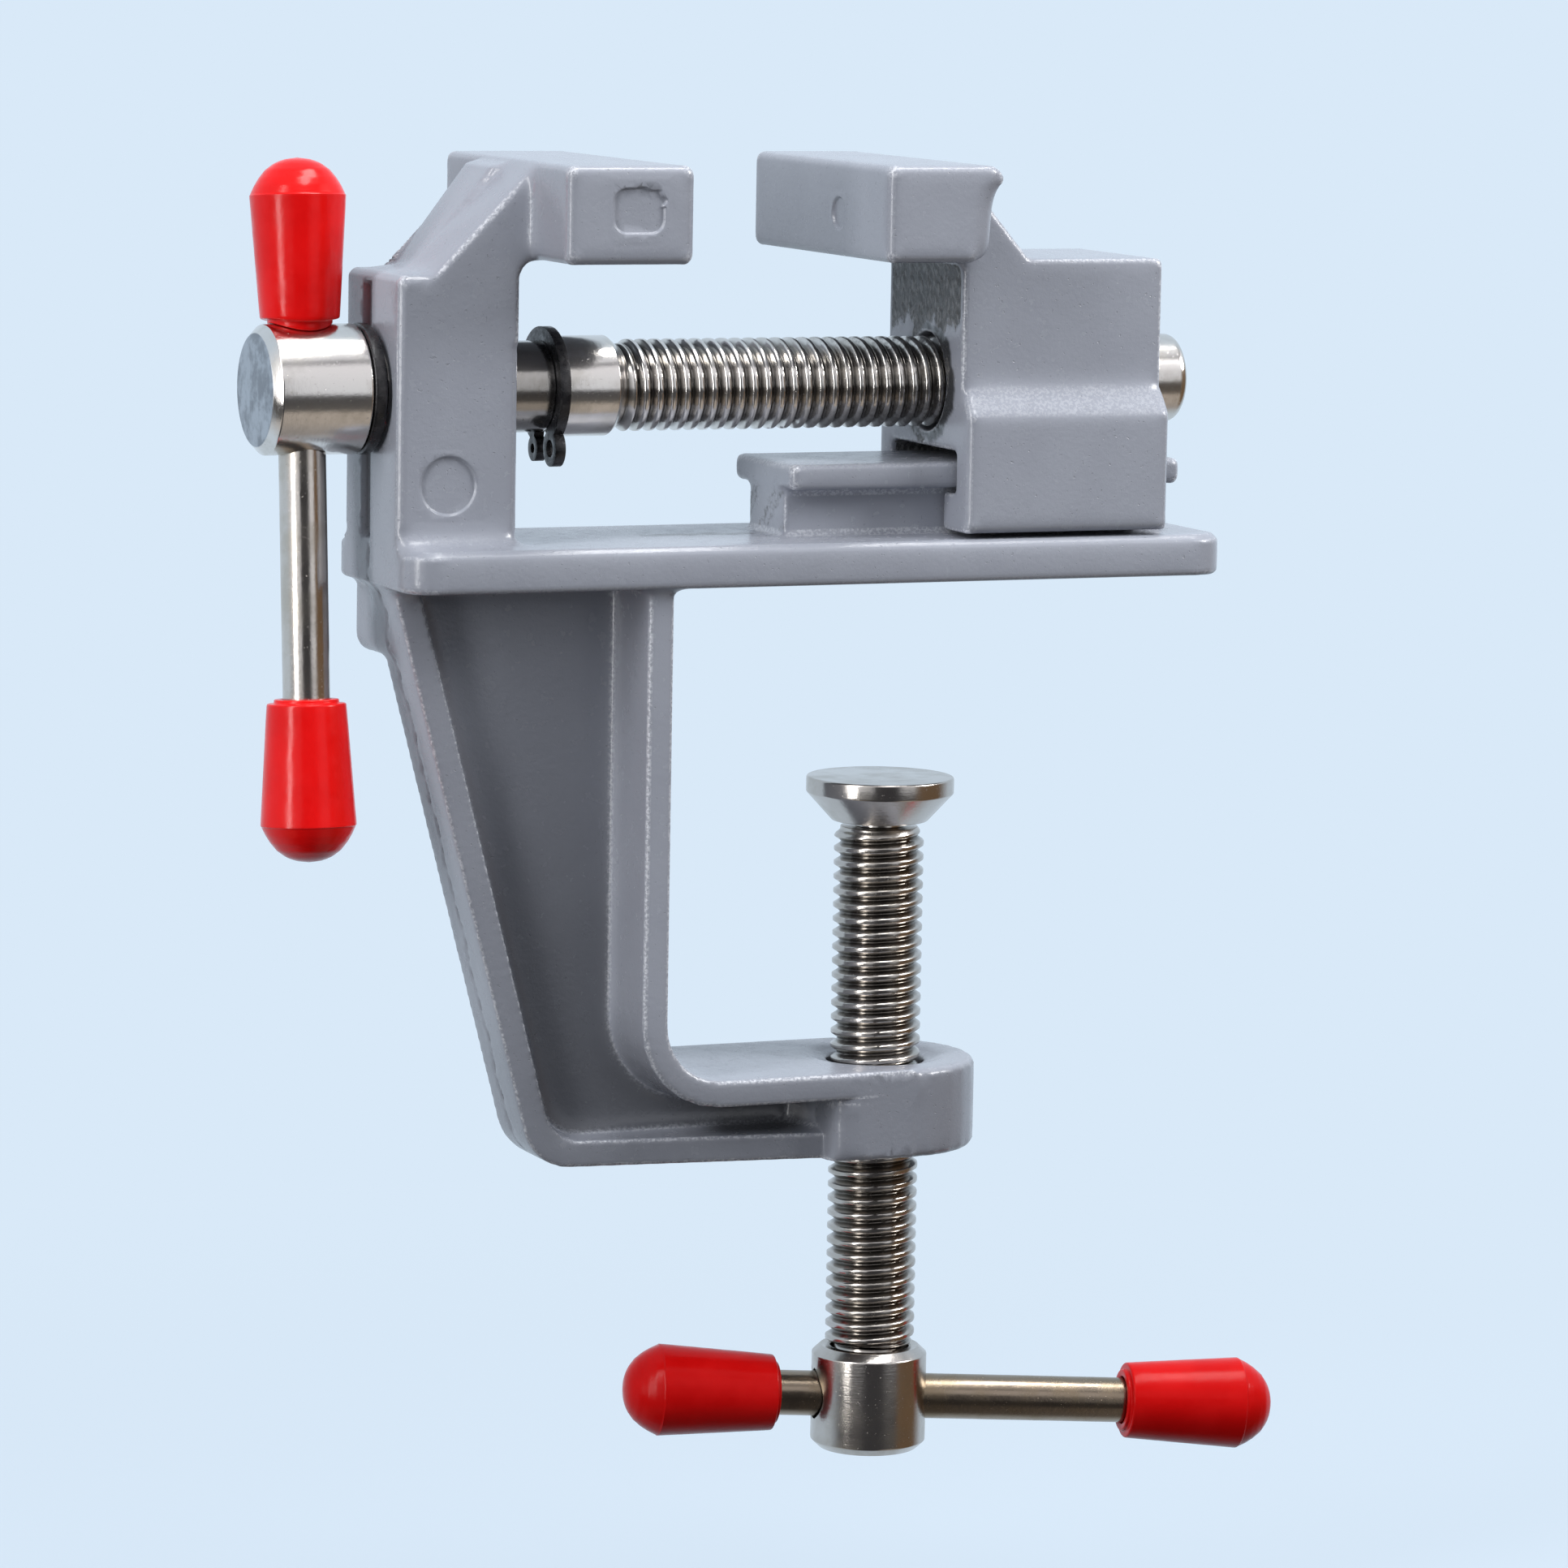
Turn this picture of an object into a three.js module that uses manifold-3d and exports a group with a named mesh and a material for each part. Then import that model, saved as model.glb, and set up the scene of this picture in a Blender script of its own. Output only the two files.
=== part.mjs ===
// Mini bench vise that clamps on a table edge.
// Millimetres, +Z up. The origin is where the clamp screw's axis meets the
// underside of the base plate, which rests on the table top. +X runs along the
// main screw from its handle to the moving jaw, +Y points away from the front.
import * as THREE from 'three';
import { mergeVertices } from 'three/addons/utils/BufferGeometryUtils.js';
import { ConvexGeometry } from 'three/addons/geometries/ConvexGeometry.js';
import Module from 'manifold-3d';

// Base plate
const plateThickness = 3.65;
const plateDepth = 20;
const plateReach = 28.65;
const plateCornerRadius = 3;
const plateEdgeChamfer = 0.6;

// Column and fixed jaw
const columnWidth = 10.8;
const columnDepth = 13.5;
const columnHeight = 22.9;
const columnFootHeight = 0.9;
const columnFootLedge = 0.7;
const jawLength = 30;
const jawHeight = 8.3;
const jawUndersideHeight = 24.1;
const fixedJawThickness = 11.4;
const fixedJawOverhang = 1;
const gussetRun = 9.1;
const gussetCrown = 0.8;
const gussetTopDrop = 0.6;
const castingChamfer = 0.5;
const jawFilletRadius = 1.6;

// Screw axis above the plate
const screwAxisHeight = 13;

// Rail with a T section on the plate
const railLength = 37.1;
const railEndInset = 3.25;
const railFlangeWidth = 13;
const railFlangeThickness = 2.3;
const railNeckWidth = 8;
const railNeckHeight = 4.15;
const railNeckInset = 0.4;

// C-frame below the plate
const throatDepth = 23.3;
const throatHeight = 42.7;
const frameTopWidth = 24.3;
const throatRadius = 5;
const armDepth = 18;
const armHeight = 7.9;
const bossRadius = 8.8;
const flangeThickness = 2.35;
const webThickness = 2.4;
const outerFlangeDepth = 6.8;
const outerFlangeInset = 0.9;
const outerCornerRun = 33.4;
const outerCornerRadius = 4.5;
const innerCornerRadius = 3.4;
const lowerFlangeDepth = 13.6;
const bossRingRadius = 5.6;
const bossRingDepth = 0.4;
const heelDrop = 6.6;
const heelDepth = 7.3;
const heelInset = 1.7;

// Casting marks
const columnMarkRadius = 2.5;
const columnMarkHeight = 5.25;
const columnMarkOffset = 0.85;
const jawMarkRadius = 1.4;
const jawMarkOffset = 4;
const endMarkWidth = 4.6;
const endMarkHeight = 3.8;
const endMarkRadius = 1.2;
const endMarkOffset = 0.65;
const markDepth = 0.25;

// Moving jaw
const jawGap = 17.65;
const movingJawThickness = 10.8;
const movingJawBodyLength = 19.1;
const movingJawBodyDepth = 16;
const movingJawBodyTop = 24.05;
const slideBlockDepth = 19.4;
const slideBlockTop = 10.6;
const slideBlockShoulder = 2.4;
const backSlopeRun = 6.25;
const backSlopeRise = 7.3;
const beadRadius = 1.25;
const beadStandout = 0.6;
const beadDrop = 0.1;
const slideGap = 0.4;
const slotCeilingGap = 0.9;
const nutBoreGap = 0.35;

// Threads and bearing
const threadDiameter = 7.9;
const threadPitch = 1.25;
const threadDepth = 0.62;
const threadChamfer = 0.7;
const journalDiameter = 7.8;
const journalGap = 0.15;
const collarDiameter = 8.6;
const collarLength = 5.4;
const collarOffset = 5.4;
const screwTailLength = 5.2;
const screwTailDiameter = 7.8;
const screwTailStandout = 4.8;

// Washer and retaining ring on the main screw
const washerGap = 0.45;
const washerThickness = 1.1;
const washerDiameter = 11.1;
const seatGap = 0.1;
const ringThickness = 0.9;
const ringOuterDiameter = 10.2;
const ringGrooveDepth = 0.45;
const ringMouthAngle = 42;
const ringLugRadius = 1.35;
const ringLugHoleRadius = 0.6;

// Handles
const barDiameter = 4;
const barHoleGap = 0.25;
const barExposedLength = 31.6;
const capLength = 13.8;
const capMouthDiameter = 6.7;
const capShoulderDiameter = 8.1;
const capDomeHeight = 3.15;
const capLipHeight = 0.5;
const capBoreDepth = 9;
const capBoreGap = 0.1;
const capLip = 0.15;
const headDiameter = 11;
const headLength = 8.7;
const headBarOffset = 4.6;
const headChamfer = 0.7;
const headSocketDepth = 2.6;
const mainBarLean = 4.4;

// Table clamp
const clampGap = 18;
const padDiameter = 13;
const padHeight = 3.9;
const padFloor = 1.2;
const padRimHeight = 1.4;
const swivelButtonDiameter = 5.8;
const swivelButtonHeight = 1.1;
const swivelNeckDiameter = 4.2;
const swivelNeckHeight = 1.5;
const swivelGap = 0.3;
const clampScrewLength = 50.9;
const clampHeadDiameter = 10.2;
const clampHeadHeight = 9.2;
const clampSocketDepth = 2;
const clampBarShift = 7.4;
const clampBarTurn = 11.6;
const clampBarDroop = 2.9;

// How far a cut runs past the material it goes through
const overrun = 1;

// Corners of a mesh closer than this are one corner
const weldDistance = 1e-4;

// Facets of round pieces and of one turn of thread
const roundSides = 28;
const barSides = 20;
const threadSides = 10;

// Places worked out from the sizes above
const plateLeft = -(throatDepth + frameTopWidth);
const screwZ = plateThickness + screwAxisHeight;
const jawBottomZ = plateThickness + jawUndersideHeight;
const jawTopZ = jawBottomZ + jawHeight;
const columnRight = plateLeft + columnWidth;
const columnTopZ = plateThickness + columnHeight;
const fixedJawLeft = columnRight + fixedJawOverhang;
const fixedJawFace = fixedJawLeft + fixedJawThickness;
const movingJawFace = fixedJawFace + jawGap;
const bodyLeft = movingJawFace + movingJawThickness - beadStandout;
const bodyRight = bodyLeft + movingJawBodyLength;
const railTopZ = plateThickness + railNeckHeight + railFlangeThickness;
const railLeft = plateReach - railEndInset - railLength;
const armTopZ = -throatHeight;
const armBottomZ = armTopZ - armHeight;
const clampHeadTopZ = -clampGap - clampScrewLength;
const clampBarZ = clampHeadTopZ - clampHeadHeight / 2;
const barRadius = barDiameter / 2;
const barLength = barExposedLength + 2 * (capBoreDepth - swivelGap);

const wasm = await Module();
wasm.setup();

// Closed solid of a geometry, whichever way its faces were wound
function toSolid(geometry) {
  const bare = new THREE.BufferGeometry();
  bare.setAttribute('position', geometry.getAttribute('position').clone());
  if (geometry.index) bare.setIndex(geometry.index.clone());
  const welded = mergeVertices(bare, weldDistance);
  const position = welded.getAttribute('position');
  const corners = [];
  const p = [new THREE.Vector3(), new THREE.Vector3(), new THREE.Vector3()];
  let volume = 0;
  for (let i = 0; i < welded.index.count; i += 3) {
    const t = [welded.index.getX(i), welded.index.getX(i + 1), welded.index.getX(i + 2)];
    if (t[0] === t[1] || t[1] === t[2] || t[2] === t[0]) continue;
    t.forEach((v, k) => p[k].fromBufferAttribute(position, v));
    volume += p[0].dot(p[1].clone().cross(p[2]));
    corners.push(t);
  }
  const triVerts = corners.flatMap((t) => (volume < 0 ? [t[0], t[2], t[1]] : t));
  return new wasm.Manifold(new wasm.Mesh({
    numProp: 3,
    vertProperties: new Float32Array(position.array),
    triVerts: new Uint32Array(triVerts),
  }));
}

function toGeometry(solid) {
  const mesh = solid.getMesh();
  const geometry = new THREE.BufferGeometry();
  geometry.setAttribute('position', new THREE.BufferAttribute(mesh.vertProperties, mesh.numProp));
  geometry.setIndex(new THREE.BufferAttribute(mesh.triVerts, 1));
  geometry.computeVertexNormals();
  return geometry;
}

// Convex solid through points
function hull(points) {
  return toSolid(new ConvexGeometry(points.map((point) => new THREE.Vector3(...point))));
}

// Box from two limits on each axis, its edges cut back by a chamfer
function block([x0, x1], [y0, y1], [z0, z1], chamfer = 0) {
  const points = [];
  for (const [x, sx] of [[x0, 1], [x1, -1]]) {
    for (const [y, sy] of [[y0, 1], [y1, -1]]) {
      for (const [z, sz] of [[z0, 1], [z1, -1]]) {
        points.push([x, y + sy * chamfer, z + sz * chamfer]);
        points.push([x + sx * chamfer, y, z + sz * chamfer]);
        points.push([x + sx * chamfer, y + sy * chamfer, z]);
      }
    }
  }
  return hull(points);
}

// Closed outline from corners [u, v, radius], each corner an arc of its radius
function outline(corners, steps = 6) {
  const shape = new THREE.Shape();
  corners.forEach(([u, v, radius = 0], i) => {
    const corner = new THREE.Vector2(u, v);
    const before = corners[(i + corners.length - 1) % corners.length];
    const after = corners[(i + 1) % corners.length];
    const toBefore = new THREE.Vector2(before[0], before[1]).sub(corner).normalize();
    const toAfter = new THREE.Vector2(after[0], after[1]).sub(corner).normalize();
    const half = Math.acos(THREE.MathUtils.clamp(toBefore.dot(toAfter), -1, 1)) / 2;
    const middle = toBefore.clone().add(toAfter).normalize();
    const centre = corner.clone().addScaledVector(middle, radius / Math.sin(half));
    const start = corner.clone().addScaledVector(toBefore, radius / Math.tan(half)).sub(centre);
    const turn = (Math.PI - 2 * half) * Math.sign(toBefore.cross(toAfter)) * -1;
    const count = radius > 0 ? steps : 0;
    for (let k = 0; k <= count; k += 1) {
      const spoke = start.clone().rotateAround(new THREE.Vector2(), count ? (turn * k) / count : 0);
      const point = radius > 0 ? centre.clone().add(spoke) : corner;
      if (i === 0 && k === 0) shape.moveTo(point.x, point.y);
      else shape.lineTo(point.x, point.y);
    }
  });
  return shape;
}

// Prism of an outline drawn in X and Z, between two places along Y, with an
// optional chamfer round both end faces
function prismXZ(shape, y0, y1, chamfer = 0) {
  const geometry = new THREE.ExtrudeGeometry(shape, {
    depth: y1 - y0 - 2 * chamfer,
    bevelEnabled: chamfer > 0,
    bevelThickness: chamfer,
    bevelSize: chamfer,
    bevelOffset: -chamfer,
    bevelSegments: 1,
    curveSegments: barSides,
  });
  geometry.rotateX(Math.PI / 2);
  geometry.translate(0, y1 - chamfer, 0);
  return toSolid(geometry);
}

// Prism of an outline drawn in X and Y, between two heights
function prismXY(shape, z0, z1) {
  const geometry = new THREE.ExtrudeGeometry(shape, {
    depth: z1 - z0,
    bevelEnabled: false,
    curveSegments: barSides,
  });
  geometry.translate(0, 0, z0);
  return toSolid(geometry);
}

// Prism of an outline drawn in Y and Z, between two places along X
function prismYZ(shape, x0, x1) {
  const geometry = new THREE.ExtrudeGeometry(shape, {
    depth: x1 - x0,
    bevelEnabled: false,
    curveSegments: barSides,
  });
  geometry.rotateX(Math.PI / 2);
  geometry.rotateZ(Math.PI / 2);
  geometry.translate(x0, 0, 0);
  return toSolid(geometry);
}

// Turned solid about Z from radius and height pairs that close on the axis
function turned(profile, sides = roundSides) {
  const points = profile.map(([radius, height]) => new THREE.Vector2(radius, height));
  points.push(points[0].clone());
  const geometry = new THREE.LatheGeometry(points, sides);
  geometry.rotateX(Math.PI / 2);
  return toSolid(geometry);
}

function rod(radius, z0, z1, sides = roundSides) {
  return turned([[0, z0], [radius, z0], [radius, z1], [0, z1]], sides);
}

// The turned solids stand along Z, these lay them along X or Y
const alongX = (solid) => solid.rotate([0, 90, 0]);
const alongY = (solid) => solid.rotate([-90, 0, 0]);

// Right-hand thread about Z between two heights, with chamfered ends
function threadedRod(z0, z1) {
  const crest = threadDiameter / 2;
  const root = crest - threadDepth;
  const riseShares = [0, 0.32, 0.54, 0.86];
  const radii = [root, crest, crest, root];
  const first = z0 - 2 * threadPitch;
  const steps = Math.ceil((z1 - z0) / threadPitch + 3) * threadSides;
  const vertices = [];
  const row = riseShares.map(() => []);
  const place = (line, step) => {
    const angle = (2 * Math.PI * step) / threadSides;
    const height = first + threadPitch * (step / threadSides + riseShares[line]);
    row[line].push(vertices.length / 3);
    vertices.push(radii[line] * Math.cos(angle), radii[line] * Math.sin(angle), height);
  };
  riseShares.forEach((share, line) => {
    const ending = line === 0 ? steps + threadSides : steps;
    for (let step = 0; step <= ending; step += 1) place(line, step);
  });
  const faces = [];
  const quad = (a, b, c, d) => faces.push(a, b, c, a, c, d);
  for (let step = 0; step < steps; step += 1) {
    for (let line = 0; line < row.length - 1; line += 1) {
      quad(row[line][step], row[line][step + 1], row[line + 1][step + 1], row[line + 1][step]);
    }
    const over = step + threadSides;
    quad(row.at(-1)[step], row.at(-1)[step + 1], row[0][over + 1], row[0][over]);
  }
  const foot = row[0].slice(0, threadSides + 1).concat(row.slice(1).map((line) => line[0]).reverse());
  const head = row[0].slice(steps).concat(row.slice(1).map((line) => line[steps]).reverse());
  const last = first + threadPitch * (steps / threadSides + 1);
  for (const [ring, height, flip] of [[foot, first, true], [head, last, false]]) {
    const hub = vertices.length / 3;
    vertices.push(0, 0, height);
    ring.forEach((from, i) => {
      const to = ring[(i + 1) % ring.length];
      faces.push(...(flip ? [hub, to, from] : [hub, from, to]));
    });
  }
  const geometry = new THREE.BufferGeometry();
  geometry.setAttribute('position', new THREE.Float32BufferAttribute(vertices, 3));
  geometry.setIndex(faces);
  const trim = turned([
    [0, z0], [crest - threadChamfer, z0], [crest, z0 + threadChamfer],
    [crest, z1 - threadChamfer], [crest - threadChamfer, z1], [0, z1],
  ], threadSides * 2);
  return toSolid(geometry).intersect(trim);
}

// Base plate with round corners and a small chamfer along its top edge
function basePlate() {
  const half = plateDepth / 2;
  const edge = (inset) => outline([
    [plateLeft + inset, -half + inset, plateCornerRadius - inset],
    [plateReach - inset, -half + inset, plateCornerRadius - inset],
    [plateReach - inset, half - inset, plateCornerRadius - inset],
    [plateLeft + inset, half - inset, plateCornerRadius - inset],
  ]).getPoints();
  const points = [];
  for (const { x, y } of edge(0)) {
    points.push([x, y, plateEdgeChamfer / 2], [x, y, plateThickness - plateEdgeChamfer]);
  }
  for (const { x, y } of edge(plateEdgeChamfer)) points.push([x, y, plateThickness]);
  for (const { x, y } of edge(plateEdgeChamfer / 2)) points.push([x, y, 0]);
  return hull(points);
}

// Column that carries the main screw, with a low ledge round its foot
function column() {
  const half = columnDepth / 2;
  const shaft = block([plateLeft, columnRight], [-half, half],
    [plateThickness / 2, columnTopZ], castingChamfer);
  const foot = block(
    [plateLeft, columnRight],
    [-half - columnFootLedge, half + columnFootLedge],
    [plateThickness / 2, plateThickness + columnFootHeight],
    columnFootLedge,
  );
  return shaft.add(foot);
}

// Fixed jaw bar, the sloping gusset behind it and the fillet under it
function fixedJaw() {
  const half = columnDepth / 2;
  const bar = block([fixedJawLeft, fixedJawFace], [-jawLength / 2, jawLength / 2],
    [jawBottomZ, jawTopZ], castingChamfer);
  const gussetTop = jawTopZ - gussetTopDrop;
  const gussetFoot = fixedJawLeft - gussetRun;
  const points = [];
  for (const [y, crown] of [[-half, 0], [0, gussetCrown], [half, 0]]) {
    points.push([fixedJawLeft + overrun, y, gussetTop + Math.min(crown, gussetTopDrop)]);
    points.push([fixedJawLeft, y, gussetTop]);
    points.push([gussetFoot - crown, y, columnTopZ - castingChamfer]);
    points.push([fixedJawLeft + overrun, y, columnTopZ - castingChamfer]);
    points.push([fixedJawLeft + overrun, y, jawBottomZ + overrun]);
    points.push([gussetFoot, y, columnTopZ - fixedJawThickness / 2]);
    points.push([columnRight, y, columnTopZ - fixedJawThickness / 2]);
  }
  const cutCorner = prismXZ(outline([
    [columnRight, columnTopZ - fixedJawThickness, 0],
    [columnRight, jawBottomZ, jawFilletRadius],
    [fixedJawFace, jawBottomZ, 0],
    [fixedJawFace, columnTopZ - fixedJawThickness, 0],
  ]), -half - overrun, half + overrun);
  return bar.add(hull(points).subtract(cutCorner));
}

// T rail along the plate
function rail() {
  const neckHalf = railNeckWidth / 2;
  const flangeHalf = railFlangeWidth / 2;
  const right = railLeft + railLength;
  const neck = block(
    [railLeft + railNeckInset, right - railNeckInset],
    [-neckHalf, neckHalf],
    [plateThickness / 2, railTopZ - railFlangeThickness / 2],
    railNeckInset / 2,
  );
  const flange = block([railLeft, right], [-flangeHalf, flangeHalf],
    [railTopZ - railFlangeThickness, railTopZ], railFlangeThickness / 6);
  return neck.add(flange);
}

// C-frame: web, flange round the throat, narrow outer flange, heel and boss
function cFrame() {
  const throatX = -throatDepth;
  const outer = [
    [plateLeft + outerFlangeInset, plateThickness / 2, 0],
    [plateLeft + outerFlangeInset, 0, 0],
    [-outerCornerRun, armBottomZ, outerCornerRadius],
    [0, armBottomZ, 0],
  ];
  const slope = Math.atan2(plateLeft + outerFlangeInset + outerCornerRun, armBottomZ);
  const shift = flangeThickness / Math.cos(Math.PI - Math.abs(slope));
  const lift = armBottomZ + flangeThickness;
  const lean = Math.tan(Math.PI - Math.abs(slope));
  const innerCornerX = -outerCornerRun + Math.abs(shift) - flangeThickness * lean;
  const outerBand = outline([
    ...outer,
    [0, lift, 0],
    [innerCornerX, lift, innerCornerRadius],
    [plateLeft + outerFlangeInset + Math.abs(shift), 0, 0],
    [plateLeft + outerFlangeInset + Math.abs(shift), plateThickness / 2, 0],
  ]);
  const throatBand = outline([
    [throatX, plateThickness / 2, 0],
    [throatX, armTopZ, throatRadius],
    [0, armTopZ, 0],
    [0, armTopZ - flangeThickness, 0],
    [throatX - flangeThickness, armTopZ - flangeThickness, throatRadius + flangeThickness],
    [throatX - flangeThickness, plateThickness / 2, 0],
  ]);
  const web = outline([
    ...outer,
    [0, armTopZ, 0],
    [throatX, armTopZ, throatRadius],
    [throatX, plateThickness / 2, 0],
  ]);
  const lowerFlange = prismXY(outline([
    [-outerCornerRun + outerCornerRadius / 2, -outerFlangeDepth / 2, 0],
    [-bossRadius / 2, -lowerFlangeDepth / 2, 0],
    [-bossRadius / 2, lowerFlangeDepth / 2, 0],
    [-outerCornerRun + outerCornerRadius / 2, outerFlangeDepth / 2, 0],
  ]), armBottomZ, lift);
  const cornerTrim = prismXZ(web, -armDepth, armDepth);
  return prismXZ(outerBand, -outerFlangeDepth / 2, outerFlangeDepth / 2)
    .add(prismXZ(throatBand, -armDepth / 2, armDepth / 2))
    .add(prismXZ(web, -webThickness / 2, webThickness / 2))
    .add(lowerFlange.intersect(cornerTrim))
    .add(heel())
    .add(clampBoss());
}

// Block below the column at the back of the web
function heel() {
  const left = plateLeft + heelInset;
  return prismXZ(outline([
    [left, plateThickness / 2, 0],
    [left, -heelDrop, heelDrop / 4],
    [columnRight, -heelDrop, 0],
    [columnRight, plateThickness / 2, 0],
  ]), 0, webThickness / 2 + heelDepth);
}

// Round boss that carries the clamp screw
function clampBoss() {
  return turned([
    [0, armBottomZ],
    [bossRadius - castingChamfer, armBottomZ],
    [bossRadius, armBottomZ + castingChamfer],
    [bossRadius, armTopZ - castingChamfer],
    [bossRadius - castingChamfer, armTopZ],
    [0, armTopZ],
  ]);
}

// Shallow marks that the ejector pins and the die leave on the casting
function columnMark() {
  const y = -columnDepth / 2;
  return alongY(rod(columnMarkRadius, y - overrun, y + markDepth, barSides))
    .translate([plateLeft + columnWidth / 2 - columnMarkOffset, 0, plateThickness + columnMarkHeight]);
}

function endMark() {
  const y = -jawLength / 2;
  const middleX = (fixedJawLeft + fixedJawFace) / 2 + endMarkOffset;
  const middleZ = (jawBottomZ + jawTopZ) / 2 + markDepth;
  const [w, h] = [endMarkWidth / 2, endMarkHeight / 2];
  return prismXZ(outline([
    [middleX - w, middleZ - h, markDepth],
    [middleX + w, middleZ - h, endMarkRadius],
    [middleX + w, middleZ + h, endMarkRadius],
    [middleX - w, middleZ + h, endMarkRadius / 2],
  ], 3), y - overrun, y + markDepth);
}

// The whole fixed casting, bored for both screws
function frameCasting() {
  const journalRadius = journalDiameter / 2 + journalGap;
  const journalBore = alongX(rod(journalRadius, plateLeft - overrun, columnRight + overrun))
    .translate([0, 0, screwZ]);
  const clampBore = rod(threadDiameter / 2 + nutBoreGap, armBottomZ - overrun, armTopZ + overrun);
  const ring = rod(bossRingRadius, armTopZ - bossRingDepth, armTopZ + overrun);
  return basePlate()
    .add(column())
    .add(fixedJaw())
    .add(rail())
    .add(cFrame())
    .subtract(journalBore)
    .subtract(clampBore)
    .subtract(ring)
    .subtract(columnMark())
    .subtract(endMark());
}

// Side view of the moving jaw's bar with the bead along its back edge
function movingJawBar() {
  const back = movingJawFace + movingJawThickness;
  const bar = block([movingJawFace, back - beadStandout], [-jawLength / 2, jawLength / 2],
    [jawBottomZ, jawTopZ], castingChamfer);
  const beadEnd = jawLength / 2 - castingChamfer / 2;
  const bead = alongY(rod(beadRadius, -beadEnd, beadEnd, barSides))
    .translate([back - beadRadius, 0, jawTopZ - beadRadius - beadDrop]);
  return bar.add(bead);
}

// Body of the moving jaw: upper block, wider slide block and sloping back
function movingJawBody() {
  const upper = movingJawBodyDepth / 2;
  const lower = slideBlockDepth / 2;
  const bottom = plateThickness + slideGap;
  const shoulder = plateThickness + slideBlockTop;
  const top = plateThickness + movingJawBodyTop;
  const back = movingJawFace + movingJawThickness - beadStandout;
  const upperBlock = prismXZ(outline([
    [bodyLeft, shoulder - slideBlockShoulder],
    [bodyRight, shoulder - slideBlockShoulder],
    [bodyRight, top, castingChamfer],
    [back + backSlopeRun, top],
    [back, top + backSlopeRise],
    [back - overrun, top + backSlopeRise],
    [back - overrun, jawBottomZ + overrun],
    [bodyLeft, jawBottomZ - overrun],
  ], 2), -upper, upper, castingChamfer / 2);
  const skirt = [];
  for (const [x, inset] of [[bodyLeft, castingChamfer], [bodyLeft + castingChamfer, 0],
    [bodyRight - castingChamfer / 2, 0], [bodyRight + castingChamfer / 2, castingChamfer]]) {
    for (const side of [-1, 1]) {
      skirt.push([x, side * (lower - inset), bottom + castingChamfer]);
      skirt.push([x, side * (lower - castingChamfer), bottom]);
      skirt.push([x, side * (lower - inset), shoulder]);
      skirt.push([x, side * (upper - inset), shoulder + slideBlockShoulder - inset]);
    }
  }
  return upperBlock.add(hull(skirt));
}

// T slot that runs over the rail with a clearance all round
function railSlot() {
  const neckHalf = railNeckWidth / 2 + slideGap;
  const flangeHalf = railFlangeWidth / 2 + slideGap;
  const lipTop = railTopZ - railFlangeThickness - slideGap;
  const ceiling = railTopZ + slotCeilingGap;
  return prismYZ(outline([
    [-neckHalf, plateThickness - overrun],
    [neckHalf, plateThickness - overrun],
    [neckHalf, lipTop],
    [flangeHalf, lipTop],
    [flangeHalf, ceiling],
    [-flangeHalf, ceiling],
    [-flangeHalf, lipTop],
    [-neckHalf, lipTop],
  ]), bodyLeft - overrun, bodyRight + overrun);
}

function movingJaw() {
  const nutRadius = threadDiameter / 2 + nutBoreGap;
  const nutBore = alongX(rod(nutRadius, bodyLeft - overrun, bodyRight + overrun))
    .translate([0, 0, screwZ]);
  const markEnd = movingJawFace + markDepth;
  const mark = alongX(rod(jawMarkRadius, movingJawFace - overrun, markEnd, barSides))
    .translate([0, -jawMarkOffset, (jawBottomZ + jawTopZ) / 2]);
  return movingJawBar()
    .add(movingJawBody())
    .subtract(railSlot())
    .subtract(nutBore)
    .subtract(mark);
}

// Main screw along Z, from the end inside its head to the smooth tail
const headRight = plateLeft - washerGap - washerThickness - seatGap;
const collarLeft = columnRight + collarOffset;
const ringRight = collarLeft - seatGap;
const ringLeft = ringRight - ringThickness;
const threadLeft = collarLeft + collarLength;
const screwEnd = bodyRight + screwTailStandout;
const ringGrooveRadius = journalDiameter / 2 - ringGrooveDepth;

function mainScrewRod() {
  const journal = journalDiameter / 2;
  const collar = collarDiameter / 2;
  const tail = screwTailDiameter / 2;
  const root = threadDiameter / 2 - threadDepth;
  const shank = turned([
    [0, headRight - headSocketDepth + seatGap],
    [journal - threadChamfer, headRight - headSocketDepth + seatGap],
    [journal - threadChamfer, headRight + seatGap],
    [journal, headRight + seatGap],
    [journal, ringLeft - seatGap],
    [ringGrooveRadius, ringLeft - seatGap],
    [ringGrooveRadius, collarLeft],
    [collar, collarLeft],
    [collar, threadLeft - threadChamfer],
    [root, threadLeft + threadChamfer / 2],
    [root, threadLeft + overrun],
    [0, threadLeft + overrun],
  ]);
  const smoothTail = turned([
    [0, screwEnd - screwTailLength - overrun],
    [root, screwEnd - screwTailLength - overrun],
    [root, screwEnd - screwTailLength],
    [tail, screwEnd - screwTailLength + threadChamfer / 2],
    [tail, screwEnd - threadChamfer],
    [tail - threadChamfer / 3, screwEnd - threadChamfer / 3],
    [tail - threadChamfer, screwEnd],
    [0, screwEnd],
  ]);
  return shank
    .add(threadedRod(threadLeft, screwEnd - screwTailLength))
    .add(smoothTail);
}

// Turned head with chamfered ends, socket for its screw and hole for its bar
function screwHead(diameter, length, socketRadius, socketDepth) {
  const radius = diameter / 2;
  return turned([
    [0, -length],
    [radius - headChamfer, -length],
    [radius, headChamfer - length],
    [radius, -headChamfer / 2],
    [radius - headChamfer / 2, 0],
    [socketRadius, 0],
    [socketRadius, -socketDepth],
    [0, -socketDepth],
  ]);
}

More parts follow.
